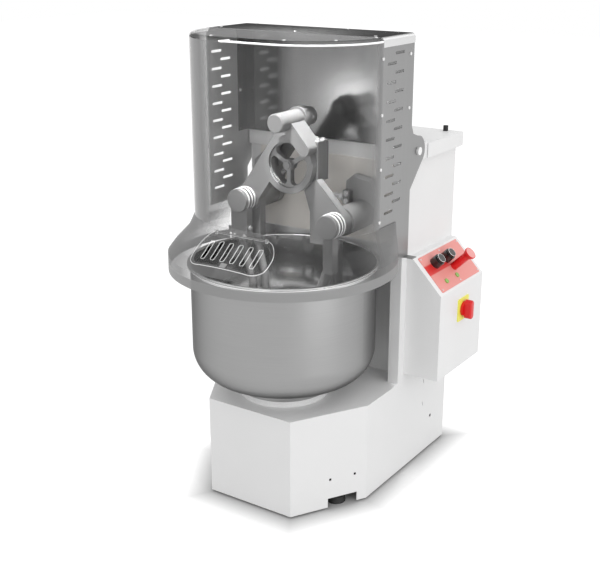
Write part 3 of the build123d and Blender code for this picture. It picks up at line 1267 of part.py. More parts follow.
os.makedirs("parts", exist_ok=True)
pieces = {
    "base_casing": base_casing, "feet": feet, "foot_studs": foot_studs, "chassis": chassis,
    "column_casing": column_casing, "front_panel": front_panel, "head_plate": head_plate,
    "crank_bearings": crank_bearings, "hinge_beam": hinge_beam, "guard_hinge_bolts": guard_hinge_bolts,
    "column_lid": column_lid, "lid_bumpers": lid_bumpers, "rear_cover": rear_cover,
    "cable_gland": cable_gland, "control_box": control_box, "control_panel": control_panel,
    "button_bezels": button_bezels, "start_button": start_button, "stop_button": stop_button,
    "emergency_stop": emergency_stop, "signal_lamps": signal_lamps, "switch_plate": switch_plate,
    "switch_handle": switch_handle, "contactors": contactors, "case_screws": case_screws, "bowl": bowl,
    "bowl_collar": bowl_collar, "deck_ring": deck_ring, "bowl_bearing": bowl_bearing,
    "bowl_shaft": bowl_shaft, "bowl_belt": bowl_belt, "crank_belt": crank_belt,
    "gear_reducer": gear_reducer, "motor": motor, "drive_pulley": drive_pulley,
    "bowl_drive_shaft": bowl_drive_shaft, "left_crank": left_crank, "right_crank": right_crank,
    "left_crank_pulley": left_crank_pulley, "right_crank_pulley": right_crank_pulley,
    "left_arm": left_arm, "right_arm": right_arm, "apex_shaft": apex_shaft,
    "left_elbow_cap": left_elbow_cap, "right_elbow_cap": right_elbow_cap, "ring_spider": ring_spider,
    "left_tool": left_tool, "right_tool": right_tool, "left_tool_bolts": left_tool_bolts,
    "guard_side_left": guard_side_left, "guard_side_right": guard_side_right, "guard_back": guard_back,
    "guard_top": guard_top, "screen": screen, "screen_top": screen_top, "skirt": skirt,
    "feed_flap": feed_flap, "flap_hinge": flap_hinge, "flap_clasp": flap_clasp,
    "guard_screws": guard_screws}
for name, piece in pieces.items():
    piece.part.label = name
    export_step(piece.part, f"parts/{name}.step")
print(len(pieces), "nodes written")
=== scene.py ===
# %% [markdown]
# # A double-arm dough mixer
# A bakery kneader stands on a white sheet-metal base. Two steel arms, carried by cranks on the column's head plate,
# work a fork each in a turning stainless bowl. A hinged guard of stainless sheet and clear plastic covers them.
# The CAD model gives every solid and joint. This lesson dresses it: finishes, cut edges, bolts, light and camera.

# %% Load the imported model
import json
import math

import bmesh
import bpy
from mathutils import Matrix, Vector


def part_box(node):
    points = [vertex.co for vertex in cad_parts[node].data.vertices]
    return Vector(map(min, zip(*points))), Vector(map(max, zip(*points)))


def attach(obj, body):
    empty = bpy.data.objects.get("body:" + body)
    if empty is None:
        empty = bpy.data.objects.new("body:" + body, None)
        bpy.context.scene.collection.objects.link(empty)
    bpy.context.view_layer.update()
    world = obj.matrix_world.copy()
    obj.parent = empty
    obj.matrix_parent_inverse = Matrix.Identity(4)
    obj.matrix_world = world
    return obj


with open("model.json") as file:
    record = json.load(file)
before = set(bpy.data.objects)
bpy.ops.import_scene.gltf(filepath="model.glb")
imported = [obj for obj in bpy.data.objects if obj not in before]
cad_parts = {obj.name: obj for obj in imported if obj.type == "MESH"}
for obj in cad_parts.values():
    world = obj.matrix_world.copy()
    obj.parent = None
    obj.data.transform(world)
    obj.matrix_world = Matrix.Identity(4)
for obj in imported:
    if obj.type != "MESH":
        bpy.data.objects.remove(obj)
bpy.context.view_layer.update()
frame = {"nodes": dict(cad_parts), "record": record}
nodes = frame["nodes"]
scene = bpy.context.scene

# %% [markdown]
# ## Camera
# The photograph looks down on the right front corner. The lens and place were worked out from the base's and the
# lid's straight edges, whose directions are known. A constraint could aim the camera, but plain angles keep the frame
# exact. The bowl's axis isn't the frame's origin, so places in this lesson are given in millimetres from the bowl's
# axis and the floor, and `at` turns them into the frame's metres.

# %% Camera
LENS, SENSOR, CLIP_END = 62.53, 36.0, 60
CAMERA_PLACE = (1708.87, -2452.2, 1674.65)
CAMERA_TILT, CAMERA_TURN = 71.34, 33.93
bowl_low, bowl_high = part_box("bowl")
AXIS = Vector(((bowl_low.x + bowl_high.x) / 2, (bowl_low.y + bowl_high.y) / 2, 0.0))


def at(x, y, z):
    """A point given in millimetres from the bowl's axis and the floor, in metres in the frame."""
    return Vector((x / 1000, y / 1000, z / 1000)) + AXIS


camera_data = bpy.data.cameras.new("camera")
camera_data.lens = LENS
camera_data.sensor_width = SENSOR
camera_data.clip_end = CLIP_END
camera = bpy.data.objects.new("camera", camera_data)
scene.collection.objects.link(camera)
camera.location = at(*CAMERA_PLACE)
camera.rotation_euler = (math.radians(CAMERA_TILT), 0.0, math.radians(CAMERA_TURN))
scene.camera = camera
print("camera at", [round(v, 3) for v in camera.location])

# %% [markdown]
# ## Studio
# Product photographs of white machines use a white sweep and large soft boxes. Here the world is a soft even light,
# and shows as plain white to the camera, in metal and through clear sheet. A picture of a studio wrapped round the
# scene would do too, but an even world with a few lamps is easier to steer. World, floor and finishes all do small
# sums in their node trees, so two helpers come first: `math_node` is one sum, and `ramp` is a clamped change from one
# range of values to another.

# %% World
AMBIENT = 0.95
scene.view_settings.view_transform = "Standard"


def feed(tree, socket, value):
    """Sets a socket to a plain number, or links another node's output to it."""
    if isinstance(value, (int, float)):
        socket.default_value = value
    else:
        tree.links.new(value, socket)


def math_node(tree, operation, first, second=0.0):
    """A Math node whose inputs are sockets or plain numbers; returns its output."""
    node = tree.nodes.new("ShaderNodeMath")
    node.operation = operation
    feed(tree, node.inputs[0], first)
    feed(tree, node.inputs[1], second)
    return node.outputs[0]


def ramp(tree, value, low, high, start, end):
    """A clamped Map Range from low..high to start..end; returns its output."""
    node = tree.nodes.new("ShaderNodeMapRange")
    labels = ("Value", "From Min", "From Max", "To Min", "To Max")
    for label, item in zip(labels, (value, low, high, start, end)):
        feed(tree, node.inputs[label], item)
    return node.outputs[0]


def seen_by_eye(tree):
    """1 for what the camera sees, directly, in metal or through clear sheet, and 0 for lighting."""
    path = tree.nodes.new("ShaderNodeLightPath").outputs
    direct = math_node(tree, "MAXIMUM", path["Is Camera Ray"], path["Is Transmission Ray"])
    return math_node(tree, "MAXIMUM", direct, path["Is Glossy Ray"])


world = bpy.data.worlds.new("studio")
scene.world = world
world.use_nodes = True
air = world.node_tree
air.nodes.clear()
sky = air.nodes.new("ShaderNodeBackground")
sky.inputs["Color"].default_value = (1, 1, 1, 1)
air.links.new(ramp(air, seen_by_eye(air), 0.0, 1.0, AMBIENT, 1.0), sky.inputs["Strength"])
world_out = air.nodes.new("ShaderNodeOutputWorld")
air.links.new(sky.outputs[0], world_out.inputs["Surface"])
print("world lights at", AMBIENT, "and looks white")

# %% [markdown]
# Five lamps model the shapes. A large box at the right makes the right-hand faces the lighter ones, a weaker one in
# front fills in, and one behind lights the guard's top. A small card at the left is there to show in the guard's
# polished back. A narrow beam from above picks out the arms, which the guard would leave dull. Area lamps are used
# throughout, because their soft edges are what a soft box gives.

# %% Lamps


def soft_box(name, place, target, size, power, spread=180):
    """A rectangular area lamp aimed at a point; a smaller spread in degrees keeps its light in a beam."""
    lamp = bpy.data.lights.new(name, "AREA")
    lamp.shape = "RECTANGLE"
    lamp.size, lamp.size_y = size
    lamp.energy = power
    lamp.spread = math.radians(spread)
    holder = bpy.data.objects.new(name, lamp)
    scene.collection.objects.link(holder)
    holder.location = place
    holder.rotation_euler = (target - place).to_track_quat("-Z", "Y").to_euler()


soft_box("right_box", at(3000, -700, 1000), at(0, 100, 700), (2.2, 2.0), 22)
soft_box("left_card", at(-1217, -2000, 833), at(111, 221, 1215), (0.24, 0.15), 0.95)
soft_box("top_beam", at(60, -260, 2900), at(-10, 50, 1080), (0.3, 0.3), 2.0, 12)
soft_box("front_box", at(500, -3200, 1900), at(0, 200, 950), (1.4, 1.0), 9)
soft_box("rear_box", at(1240, 2600, 3000), at(300, 130, 1400), (1.2, 1.2), 5)

# %% [markdown]
# The floor is a wide plane. Its own light, seen only by the camera and in mirrors, lifts it to the white of the sweep.
# More lamp light would do that too, but would also bleach the machine. The floor's light fades out beside the base,
# whose plan is a rectangle with two front corners cut off, so the plain diffuse part shows there as a narrow contact
# shadow. That shadow is partly real shade, where the diffuse part darkens under the machine, and partly painted shade:
# a grey band in the base's plan where the floor's own light is taken away.

# %% Floor
FLOOR_HALF, FLOOR_DROP = 15, 0.0005
corners = [(x * FLOOR_HALF, y * FLOOR_HALF, 0) for x, y in ((-1, -1), (1, -1), (1, 1), (-1, 1))]
floor_mesh = bpy.data.meshes.new("floor")
floor_mesh.from_pydata(corners, [], [(0, 1, 2, 3)])
floor = bpy.data.objects.new("floor", floor_mesh)
scene.collection.objects.link(floor)
floor.location.z = -FLOOR_DROP
floor_paint = bpy.data.materials.new("white_sweep")
floor_paint.use_nodes = True
floor_mesh.materials.append(floor_paint)
print("floor is", 2 * FLOOR_HALF, "m wide")

# %% White of the sweep and contact shadow
# The base's plan in metres from the bowl's axis, and the direction that its cut corners face.
BASE_HALF, BASE_FRONT, BASE_REAR = 0.280, 0.187, 0.565
NOSE_HALF = 0.150
CUT_ASIDE, CUT_AHEAD = 0.868, 0.497
SHADOW_REACH, FLOOR_GLOW = 0.09, 0.66


def own_place(tree):
    """A point in its object's own coordinates, as a vector."""
    return tree.nodes.new("ShaderNodeTexCoord").outputs["Object"]


def own_axes(tree):
    """A point in its object's own coordinates, as three numbers by letter."""
    parts = tree.nodes.new("ShaderNodeSeparateXYZ")
    tree.links.new(own_place(tree), parts.inputs[0])
    return parts.outputs


nt = floor_paint.node_tree
shader = nt.nodes["Principled BSDF"]
shader.inputs["Base Color"].default_value = (0.5, 0.5, 0.5, 1)
shader.inputs["Roughness"].default_value = 0.9
shader.inputs["Specular IOR Level"].default_value = 0.0
shader.inputs["Emission Color"].default_value = (1, 1, 1, 1)
axes = own_axes(nt)
aside = math_node(nt, "ABSOLUTE", math_node(nt, "SUBTRACT", axes["X"], AXIS.x))
ahead = math_node(nt, "SUBTRACT", AXIS.y, axes["Y"])
past_side = math_node(nt, "SUBTRACT", aside, BASE_HALF)
past_front = math_node(nt, "SUBTRACT", ahead, BASE_FRONT)
past_rear = math_node(nt, "MULTIPLY", math_node(nt, "ADD", ahead, BASE_REAR), -1.0)
past_nose = math_node(nt, "SUBTRACT", aside, NOSE_HALF)
past_cut = math_node(nt, "ADD", math_node(nt, "MULTIPLY", past_nose, CUT_ASIDE),
                     math_node(nt, "MULTIPLY", past_front, CUT_AHEAD))
clear_of_base = past_side
for distance in (past_cut, past_front, past_rear):
    clear_of_base = math_node(nt, "MAXIMUM", clear_of_base, distance)
# The glow drops to nothing in a band the shape of the base's plan: painted shade, laid over the real darkening of the
# diffuse part.
glow = ramp(nt, clear_of_base, 0.0, SHADOW_REACH, 0.0, FLOOR_GLOW)
nt.links.new(math_node(nt, "MULTIPLY", seen_by_eye(nt), glow), shader.inputs["Emission Strength"])
print("contact shadow reaches", SHADOW_REACH, "m")

# %% [markdown]
# ## Shared surface effects
# Two effects turn up in many finishes, so each is one node group. `streaks` stretches noise along one direction,
# which is what a grinding belt leaves on stainless sheet. `mottle` is a soft cloudiness that keeps paint, rubber and
# plastic from looking like one flat colour, and adds the fine skin of a sprayed or moulded surface. Noise in a
# piece's own coordinates needs no unwrapping, and keeps its scale from part to part.

# %% Streaks, as a grinding belt leaves them


def value_group(name, inputs, outputs):
    """An empty shader node group with float, vector or colour sockets; returns the group and its two end nodes."""
    group = bpy.data.node_groups.new(name, "ShaderNodeTree")
    kinds = {"f": "NodeSocketFloat", "v": "NodeSocketVector", "c": "NodeSocketColor"}
    for label, kind, default in inputs:
        socket = group.interface.new_socket(label, in_out="INPUT", socket_type=kinds[kind])
        socket.default_value = default
    for label, kind in outputs:
        group.interface.new_socket(label, in_out="OUTPUT", socket_type=kinds[kind])
    return group, group.nodes.new("NodeGroupInput"), group.nodes.new("NodeGroupOutput")


def mix_colours(tree, factor, dark, light):
    """A colour mix whose factor and colours are sockets; returns its output."""
    node = tree.nodes.new("ShaderNodeMix")
    node.data_type = "RGBA"
    for socket, value in ((node.inputs[0], factor), (node.inputs[6], dark), (node.inputs[7], light)):
        tree.links.new(value, socket)
    return node.outputs[2]


def noise(tree, vector, detail):
    """A noise texture on a vector; returns its node."""
    node = tree.nodes.new("ShaderNodeTexNoise")
    node.inputs["Detail"].default_value = detail
    tree.links.new(vector, node.inputs["Vector"])
    return node


SURFACE = [("Color", "c"), ("Roughness", "f"), ("Height", "f")]
FINE_SHARE, BROAD_SHARE, BROAD_SCALE = 0.6, 0.4, 5.0
streaks, s_in, s_out = value_group(
    "streaks", [("Stretch", "v", (300, 300, 6)), ("Dark", "c", (0.3, 0.3, 0.3, 1)), ("Light", "c", (0.4, 0.4, 0.4, 1)),
                ("Rough Low", "f", 0.25), ("Rough High", "f", 0.4)], SURFACE)
s_place = own_place(streaks)
scaled = streaks.nodes.new("ShaderNodeVectorMath")
scaled.operation = "MULTIPLY"
streaks.links.new(s_place, scaled.inputs[0])
streaks.links.new(s_in.outputs["Stretch"], scaled.inputs[1])
fine = noise(streaks, scaled.outputs[0], 3.0)
fine.inputs["Scale"].default_value = 1.0
broad = noise(streaks, s_place, 2.0)
broad.inputs["Scale"].default_value = BROAD_SCALE
worn = math_node(streaks, "ADD", math_node(streaks, "MULTIPLY", fine.outputs["Fac"], FINE_SHARE),
                 math_node(streaks, "MULTIPLY", broad.outputs["Fac"], BROAD_SHARE))
streaks.links.new(mix_colours(streaks, worn, s_in.outputs["Dark"], s_in.outputs["Light"]), s_out.inputs["Color"])
streaks.links.new(ramp(streaks, worn, 0.0, 1.0, s_in.outputs["Rough Low"], s_in.outputs["Rough High"]),
                  s_out.inputs["Roughness"])
streaks.links.new(fine.outputs["Fac"], s_out.inputs["Height"])
print("streaks:", len(streaks.nodes), "nodes")

# %% Mottle, for sprayed, cast and moulded skins
mottle, m_in, m_out = value_group(
    "mottle", [("Cloud Scale", "f", 6.0), ("Skin Scale", "f", 900.0), ("Dark", "c", (0.8, 0.8, 0.8, 1)),
               ("Light", "c", (0.85, 0.85, 0.85, 1)), ("Rough Low", "f", 0.35), ("Rough High", "f", 0.45)], SURFACE)
m_place = own_place(mottle)
cloud = noise(mottle, m_place, 4.0)
skin = noise(mottle, m_place, 1.0)
mottle.links.new(m_in.outputs["Cloud Scale"], cloud.inputs["Scale"])
mottle.links.new(m_in.outputs["Skin Scale"], skin.inputs["Scale"])
mottle.links.new(mix_colours(mottle, cloud.outputs["Fac"], m_in.outputs["Dark"], m_in.outputs["Light"]),
                 m_out.inputs["Color"])
mottle.links.new(ramp(mottle, skin.outputs["Fac"], 0.0, 1.0, m_in.outputs["Rough Low"], m_in.outputs["Rough High"]),
                 m_out.inputs["Roughness"])
mottle.links.new(skin.outputs["Fac"], m_out.inputs["Height"])
print("mottle:", len(mottle.nodes), "nodes")

# %% [markdown]
# ## Finishes
# Each finish is one of the two groups with its own two tones and its own range of roughness. Constants such as
# metallic or coat sit directly on the shader; only what varies over the surface comes from the group. `Specular Tint`
# of a metal is the tone that it takes at grazing angles: a grey one keeps round steel from going white at its edges.

# %% Paint and plastics
BUMP_REACH = 0.0005


def finish(name, group, dark, light, rough, bump=0.0, pattern=None, **constants):
    """A Principled material whose colour, roughness and bump come from a shared group."""
    material = bpy.data.materials.new(name)
    material.use_nodes = True
    nt = material.node_tree
    shader = nt.nodes["Principled BSDF"]
    effect = nt.nodes.new("ShaderNodeGroup")
    effect.node_tree = group
    values = {"Dark": dark, "Light": light, "Rough Low": rough[0], "Rough High": rough[1], **(pattern or {})}
    for label, value in values.items():
        effect.inputs[label].default_value = value
    nt.links.new(effect.outputs["Color"], shader.inputs["Base Color"])
    nt.links.new(effect.outputs["Roughness"], shader.inputs["Roughness"])
    if bump:
        relief = nt.nodes.new("ShaderNodeBump")
        relief.inputs["Strength"].default_value = bump
        relief.inputs["Distance"].default_value = BUMP_REACH
        nt.links.new(effect.outputs["Height"], relief.inputs["Height"])
        nt.links.new(relief.outputs[0], shader.inputs["Normal"])
    for label, value in constants.items():
        shader.inputs[label.replace("_", " ")].default_value = value
    return material


def grey(level):
    """A neutral colour."""
    return (level, level, level, 1)


white_paint = finish("white_paint", mottle, grey(0.8), grey(0.84), (0.4, 0.52), 0.06, {"Skin Scale": 700})
head_enamel = finish("head_enamel", mottle, (0.74, 0.71, 0.67, 1), (0.8, 0.77, 0.73, 1), (0.3, 0.4), 0.05,
                     {"Cloud Scale": 3.0})
black_rubber = finish("black_rubber", mottle, grey(0.012), grey(0.025), (0.55, 0.75), 0.15)
black_plastic = finish("black_plastic", mottle, grey(0.01), grey(0.02), (0.14, 0.22), 0.02, Coat_Weight=0.5)
# A pale red that stands for glare on the stop mushroom's flat end: painted highlight.
painted_glare_red = finish("painted_glare_red", mottle, (0.8, 0.32, 0.3, 1), (0.86, 0.38, 0.36, 1), (0.16, 0.24))
red_plastic = finish("red_plastic", mottle, (0.66, 0.006, 0.008, 1), (0.76, 0.012, 0.014, 1), (0.26, 0.38), 0.04)
yellow_plate = finish("yellow_plate", mottle, (0.84, 0.83, 0.11, 1), (0.9, 0.89, 0.15, 1), (0.35, 0.5), 0.04)
green_lens = finish("green_lens", mottle, (0.2, 0.42, 0.05, 1), (0.28, 0.5, 0.08, 1), (0.12, 0.2), Coat_Weight=0.6)
print("paint and plastics ready")

# %% Metals
EDGE_TONE = grey(0.3)
UPRIGHT, CROSSWISE, ROUND = ({"Stretch": stretch} for stretch in ((400, 400, 5), (5, 400, 400), (6, 6, 500)))
stainless = finish("stainless", streaks, grey(0.31), grey(0.39), (0.24, 0.36), 0.05, UPRIGHT, Metallic=0.65,
                   Specular_Tint=EDGE_TONE)
# Polished for real, and darker than the other stainless: the darker tone is painted shade for the guard's dim inside.
polished_back_painted_shade = finish("polished_back_painted_shade", streaks, grey(0.17), grey(0.24), (0.12, 0.2), 0.03, UPRIGHT, Metallic=0.8,
                    Specular_Tint=EDGE_TONE)
arm_steel = finish("arm_steel", mottle, grey(0.21), grey(0.26), (0.2, 0.34), 0.05, {"Skin Scale": 1200},
                   Metallic=0.25, Specular_Tint=EDGE_TONE)
screw_steel = finish("screw_steel", mottle, grey(0.8), grey(0.88), (0.2, 0.3), Metallic=0.6)
# A lighter copy of the stainless for the guard's left side: painted light.
painted_lit_side_steel = finish("painted_lit_side_steel", streaks, grey(0.46), grey(0.54), (0.24, 0.36), 0.05, UPRIGHT, Metallic=0.45,
                     Specular_Tint=EDGE_TONE)
# Satin stainless for the front panel, in a lighter tone that stands for light in the shade between bowl and column:
# painted light.
painted_lit_front_steel = finish("painted_lit_front_steel", streaks, grey(0.74), grey(0.82), (0.3, 0.42), 0.04, UPRIGHT, Metallic=0.2)
# Ground across for real; its darker tone and near-black edge tone are painted shade.
top_steel_painted_light = finish("top_steel_painted_light", streaks, grey(0.15), grey(0.2), (0.38, 0.48), 0.04, CROSSWISE, Metallic=1.0,
                   Specular_Tint=grey(0.02))
# Near-white and mostly diffuse: this tone stands for the glints of ground and chrome steel, a painted highlight.
glint_bright_steel = finish("glint_bright_steel", mottle, grey(0.84), grey(0.92), (0.22, 0.3), Metallic=0.3)
crank_iron = finish("crank_iron", mottle, grey(0.28), grey(0.36), (0.32, 0.46), 0.12, {"Skin Scale": 300},
                    Metallic=0.25, Specular_Tint=EDGE_TONE)
frame_steel = finish("frame_steel", mottle, grey(0.18), grey(0.24), (0.4, 0.55), 0.1)
print("metals ready")

# %% [markdown]
# The guard's top sheet is folded down at both sides, and the folds catch the light. That light is painted: one
# material changes to a near-white tone where the sheet begins to bend, told by its place across the machine, as a
# painted highlight. A second material on the folds' faces would need a changed mesh, and a CAD node's mesh is left
# alone.

# %% Painted highlight on the folds of the guard's top
FOLD_HIGHLIGHT_WIDTH, FOLD_HIGHLIGHT_BLEND = 0.012, 0.006


def repaint(material, mask, colour):
    """Lays a plain colour over a finish where a mask is 1."""
    nt = material.node_tree
    base = nt.nodes["Principled BSDF"].inputs["Base Color"]
    over = nt.nodes.new("ShaderNodeRGB")
    over.outputs[0].default_value = colour
    nt.links.new(mix_colours(nt, mask, base.links[0].from_socket, over.outputs[0]), base)


nt = top_steel_painted_light.node_tree
axes = own_axes(nt)
across = math_node(nt, "ABSOLUTE", math_node(nt, "SUBTRACT", axes["X"], AXIS.x))
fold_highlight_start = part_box("guard_top")[1].x - AXIS.x - FOLD_HIGHLIGHT_WIDTH
# The near-white band on both folds is a painted highlight.
repaint(top_steel_painted_light, ramp(nt, across, fold_highlight_start, fold_highlight_start + FOLD_HIGHLIGHT_BLEND, 0.0, 1.0), grey(0.85))
print("folds start", round(fold_highlight_start, 4), "m from the middle")

# %% [markdown]
# The bowl is spun from one disc. Outside it has the satin of a polishing lathe, running round it. Inside it is
# polished almost like a mirror. Along its rolled rim a thin band is painted near-white and made glossier: a painted
# highlight where the rim catches the light. The inner side is told from the outer by whether its surface faces a point
# inside the bowl, and the rim by its height, so one solid shows all three.

# %% Bowl
BOWL_MIDDLE = at(0, 0, 640)
RIM_FOOT, RIM_TOP = 0.7305, 0.7325


def polish(material, mask, share):
    """Takes a share off a finish's roughness where a mask is 1."""
    nt = material.node_tree
    rough = nt.nodes["Principled BSDF"].inputs["Roughness"]
    left = math_node(nt, "SUBTRACT", 1.0, math_node(nt, "MULTIPLY", mask, share))
    nt.links.new(math_node(nt, "MULTIPLY", rough.links[0].from_socket, left), rough)


bowl_steel = finish("bowl_steel", streaks, grey(0.29), grey(0.35), (0.3, 0.4), 0.03, ROUND, Metallic=1.0,
                    Specular_Tint=EDGE_TONE)
nt = bowl_steel.node_tree
inward = nt.nodes.new("ShaderNodeVectorMath")
inward.operation = "SUBTRACT"
inward.inputs[0].default_value = BOWL_MIDDLE
nt.links.new(own_place(nt), inward.inputs[1])
facing_in = nt.nodes.new("ShaderNodeVectorMath")
facing_in.operation = "DOT_PRODUCT"
nt.links.new(inward.outputs[0], facing_in.inputs[0])
nt.links.new(nt.nodes.new("ShaderNodeNewGeometry").outputs["Normal"], facing_in.inputs[1])
inside = ramp(nt, facing_in.outputs["Value"], 0.0, 0.01, 0.0, 1.0)
rim = ramp(nt, own_axes(nt)["Z"], RIM_FOOT, RIM_TOP, 0.0, 1.0)
# The rim band's near-white tone is a painted highlight.
for mask, tone, share in ((inside, 0.7, 0.75), (rim, 0.85, 0.4)):
    repaint(bowl_steel, mask, grey(tone))
    polish(bowl_steel, mask, share)
print("bowl's rim is bright above", RIM_FOOT, "m")

# %% [markdown]
# The control panel is a red plate. Its pale red ground is painted glare, a painted reflection over the red, and the
# stronger band along the row of buttons is the plate's own red. The band is a plain field between two heights on the
# slope, fading out past the stop button, so it needs no picture.

# %% Panel
BAND_FOOT, BAND_HEAD = (0.679, 0.6815), (0.703, 0.7065)
BAND_FADE = (at(0, 408, 0).y, at(0, 440, 0).y)
# The pale red of the plate stands for glare on its gloss: painted reflection. The band laid over it below is the
# plate's own red.
panel_red = finish("panel_red", mottle, (0.78, 0.28, 0.25, 1), (0.83, 0.33, 0.3, 1), (0.3, 0.42), 0.03)
nt = panel_red.node_tree
axes = own_axes(nt)
band = math_node(nt, "MULTIPLY", ramp(nt, axes["Z"], *BAND_FOOT, 0.0, 1.0), ramp(nt, axes["Z"], *BAND_HEAD, 1.0, 0.0))
band = math_node(nt, "MULTIPLY", band, ramp(nt, axes["Y"], *BAND_FADE, 1.0, 0.0))
repaint(panel_red, band, (0.7, 0.03, 0.027, 1))
print("panel's band is", round((BAND_HEAD[0] - BAND_FOOT[1]) * 1000, 1), "mm high")

# %% [markdown]
# Clear polycarbonate is nearly invisible face on and greyer where one looks along the sheet. Refracting glass is the
# usual way, but a thin sheet hardly bends light, and glass would keep the lamps from the arms. An alpha that rises
# with the facing angle lets the light through and keeps the gloss. Only the side that a ray meets from outside
# counts, so a sheet greys what is behind it once. The rolled band at the skirt's foot is frosted by handling, so it
# stays grey at every angle: there the alpha also rises with depth.

# %% Clear sheet
FROST_OPACITY = 0.95


def clear(name, tint, opacity, facing, frost=None, rough=0.12, gloss=0.5):
    """A clear sheet, its opacity given face on and grazing; frost is where it is full, where it ends and its tone."""
    material = bpy.data.materials.new(name)
    material.use_nodes = True
    nt = material.node_tree
    shader = nt.nodes["Principled BSDF"]
    shader.inputs["Base Color"].default_value = grey(tint)
    shader.inputs["Roughness"].default_value = rough
    shader.inputs["Specular IOR Level"].default_value = gloss
    slant = nt.nodes.new("ShaderNodeLayerWeight")
    slant.inputs["Blend"].default_value = 0.5
    cover = ramp(nt, slant.outputs["Facing"], *facing, *opacity)
    if frost:
        full, none, tone = frost
        band = ramp(nt, own_axes(nt)["Z"], full, none, FROST_OPACITY, 0.0)
        cover = math_node(nt, "MAXIMUM", cover, band)
        nt.links.new(ramp(nt, band, 0.0, FROST_OPACITY, tint, tone), shader.inputs["Base Color"])
    side = nt.nodes.new("ShaderNodeNewGeometry")
    outer = math_node(nt, "SUBTRACT", 1.0, side.outputs["Backfacing"])
    nt.links.new(math_node(nt, "MULTIPLY", cover, outer), shader.inputs["Alpha"])
    return material


clear_sheet = clear("clear_sheet", 0.25, (0.03, 0.95), (0.17, 0.57), gloss=0.35)
clear_top = clear("clear_top", 0.02, (0.03, 0.5), (0.3, 0.7), gloss=0.02)
clear_flap = clear("clear_flap", 0.16, (0.24, 0.6), (0.35, 0.8))
clear_skirt = clear("clear_skirt", 0.22, (0.17, 0.86), (0.18, 0.58), (0.757, 0.761, 0.31), rough=0.45, gloss=0.08)
# A pale finish that glows a little of its own, though it is no lamp: painted highlight for the cut edges and the top's
# lip.
glowing_edge_highlight = finish("glowing_edge_highlight", mottle, grey(0.86), grey(0.92), (0.2, 0.3), Emission_Color=grey(1.0),
                  Emission_Strength=0.25)
print("clear sheets ready")

# %% [markdown]
# Each CAD node takes the finish of its material slot in the record. A few nodes share a slot but take a finish of
# their own. The guard's back is polished and its top ground on the real machine; those two, the guard's left side and
# the front panel are also lighter or darker copies of the stainless, which is painted light and shade. The chrome slot
# and the guard's screws take a near-white steel whose tone is a painted highlight.

# %% Dress the CAD nodes
finishes = {
    "white_paint": white_paint, "stainless": stainless, "bowl_steel": bowl_steel, "chrome": glint_bright_steel,
    "screw_steel": screw_steel, "arm_steel": arm_steel, "crank_iron": crank_iron, "frame_steel": frame_steel,
    "clear_sheet": clear_sheet, "black_rubber": black_rubber, "black_plastic": black_plastic,
    "red_plastic": red_plastic, "panel_red": panel_red, "yellow_plate": yellow_plate, "green_lens": green_lens}
special = {"head_plate": head_enamel, "guard_back": polished_back_painted_shade, "skirt": clear_skirt, "screen_top": clear_top,
           "guard_top": top_steel_painted_light, "guard_screws": glint_bright_steel, "front_panel": painted_lit_front_steel,
           "guard_side_left": painted_lit_side_steel, "feed_flap": clear_flap}
for entry in frame["record"]["subparts"]:
    surfaces = nodes[entry["node"]].data.materials
    surfaces.clear()
    surfaces.append(special.get(entry["node"], finishes[entry["material_slot"]]))

# %% [markdown]
# ## Repeated details
# Cut edges, bolts and screws repeat all over the machine. Each kind is a small Geometry Nodes tree with named
# inputs, because a list of places is then all that one more bolt needs. `grow` runs a tree on a mesh, keeps the
# result as a plain mesh and lets it ride on a body.

# %% Geometry Nodes helpers
FLOAT, COUNT, MATERIAL = "NodeSocketFloat", "NodeSocketInt", "NodeSocketMaterial"


def growth(name, inputs):
    """An empty Geometry Nodes tree with named inputs and a finish; returns it and its end nodes."""
    group = bpy.data.node_groups.new(name, "GeometryNodeTree")
    group.interface.new_socket("Geometry", in_out="INPUT", socket_type="NodeSocketGeometry")
    for label, kind, default in inputs:
        group.interface.new_socket(label, in_out="INPUT", socket_type=kind).default_value = default
    group.interface.new_socket("Finish", in_out="INPUT", socket_type=MATERIAL)
    group.interface.new_socket("Geometry", in_out="OUTPUT", socket_type="NodeSocketGeometry")
    return group, group.nodes.new("NodeGroupInput").outputs, group.nodes.new("NodeGroupOutput").inputs


def close_tree(group, geometry, start, end):
    """Ends a tree in Realize Instances and Set Material."""
    real = group.nodes.new("GeometryNodeRealizeInstances")
    group.links.new(geometry, real.inputs["Geometry"])
    dressed = group.nodes.new("GeometryNodeSetMaterial")
    group.links.new(real.outputs["Geometry"], dressed.inputs["Geometry"])
    group.links.new(start["Finish"], dressed.inputs["Material"])
    group.links.new(dressed.outputs["Geometry"], end["Geometry"])


def settle(piece, body):
    """Lets a finished piece ride on a body."""
    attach(piece, body)
    print(piece.name, "on", body, "has", len(piece.data.polygons), "faces")


def grow(name, seed, group, values, body):
    """Runs a tree on a mesh and keeps the result as a plain mesh on a body."""
    piece = bpy.data.objects.new(name, seed)
    scene.collection.objects.link(piece)
    modifier = piece.modifiers.new("grow", "NODES")
    modifier.node_group = group
    for item in group.interface.items_tree:
        if item.in_out == "INPUT" and item.name in values:
            modifier[item.identifier] = values[item.name]
    graph = bpy.context.evaluated_depsgraph_get()
    result = bpy.data.meshes.new_from_object(piece.evaluated_get(graph), depsgraph=graph)
    piece.modifiers.remove(modifier)
    piece.data = result
    result.name = name
    settle(piece, body)


# %% [markdown]
# A cut edge of clear plastic collects light from the whole sheet and shines. Here the shine is painted: a fine round
# bead in a pale finish that glows a little of its own, a painted highlight. A bright face along each edge would need a
# new outline, so the tree below takes the sheet's own edges, keeps those that are sharper than a limit, and lays the
# bead along them. A copy of a CAD mesh is loose triangles, so its points are merged first.

# %% Painted glow on the cut edges of the feed flap


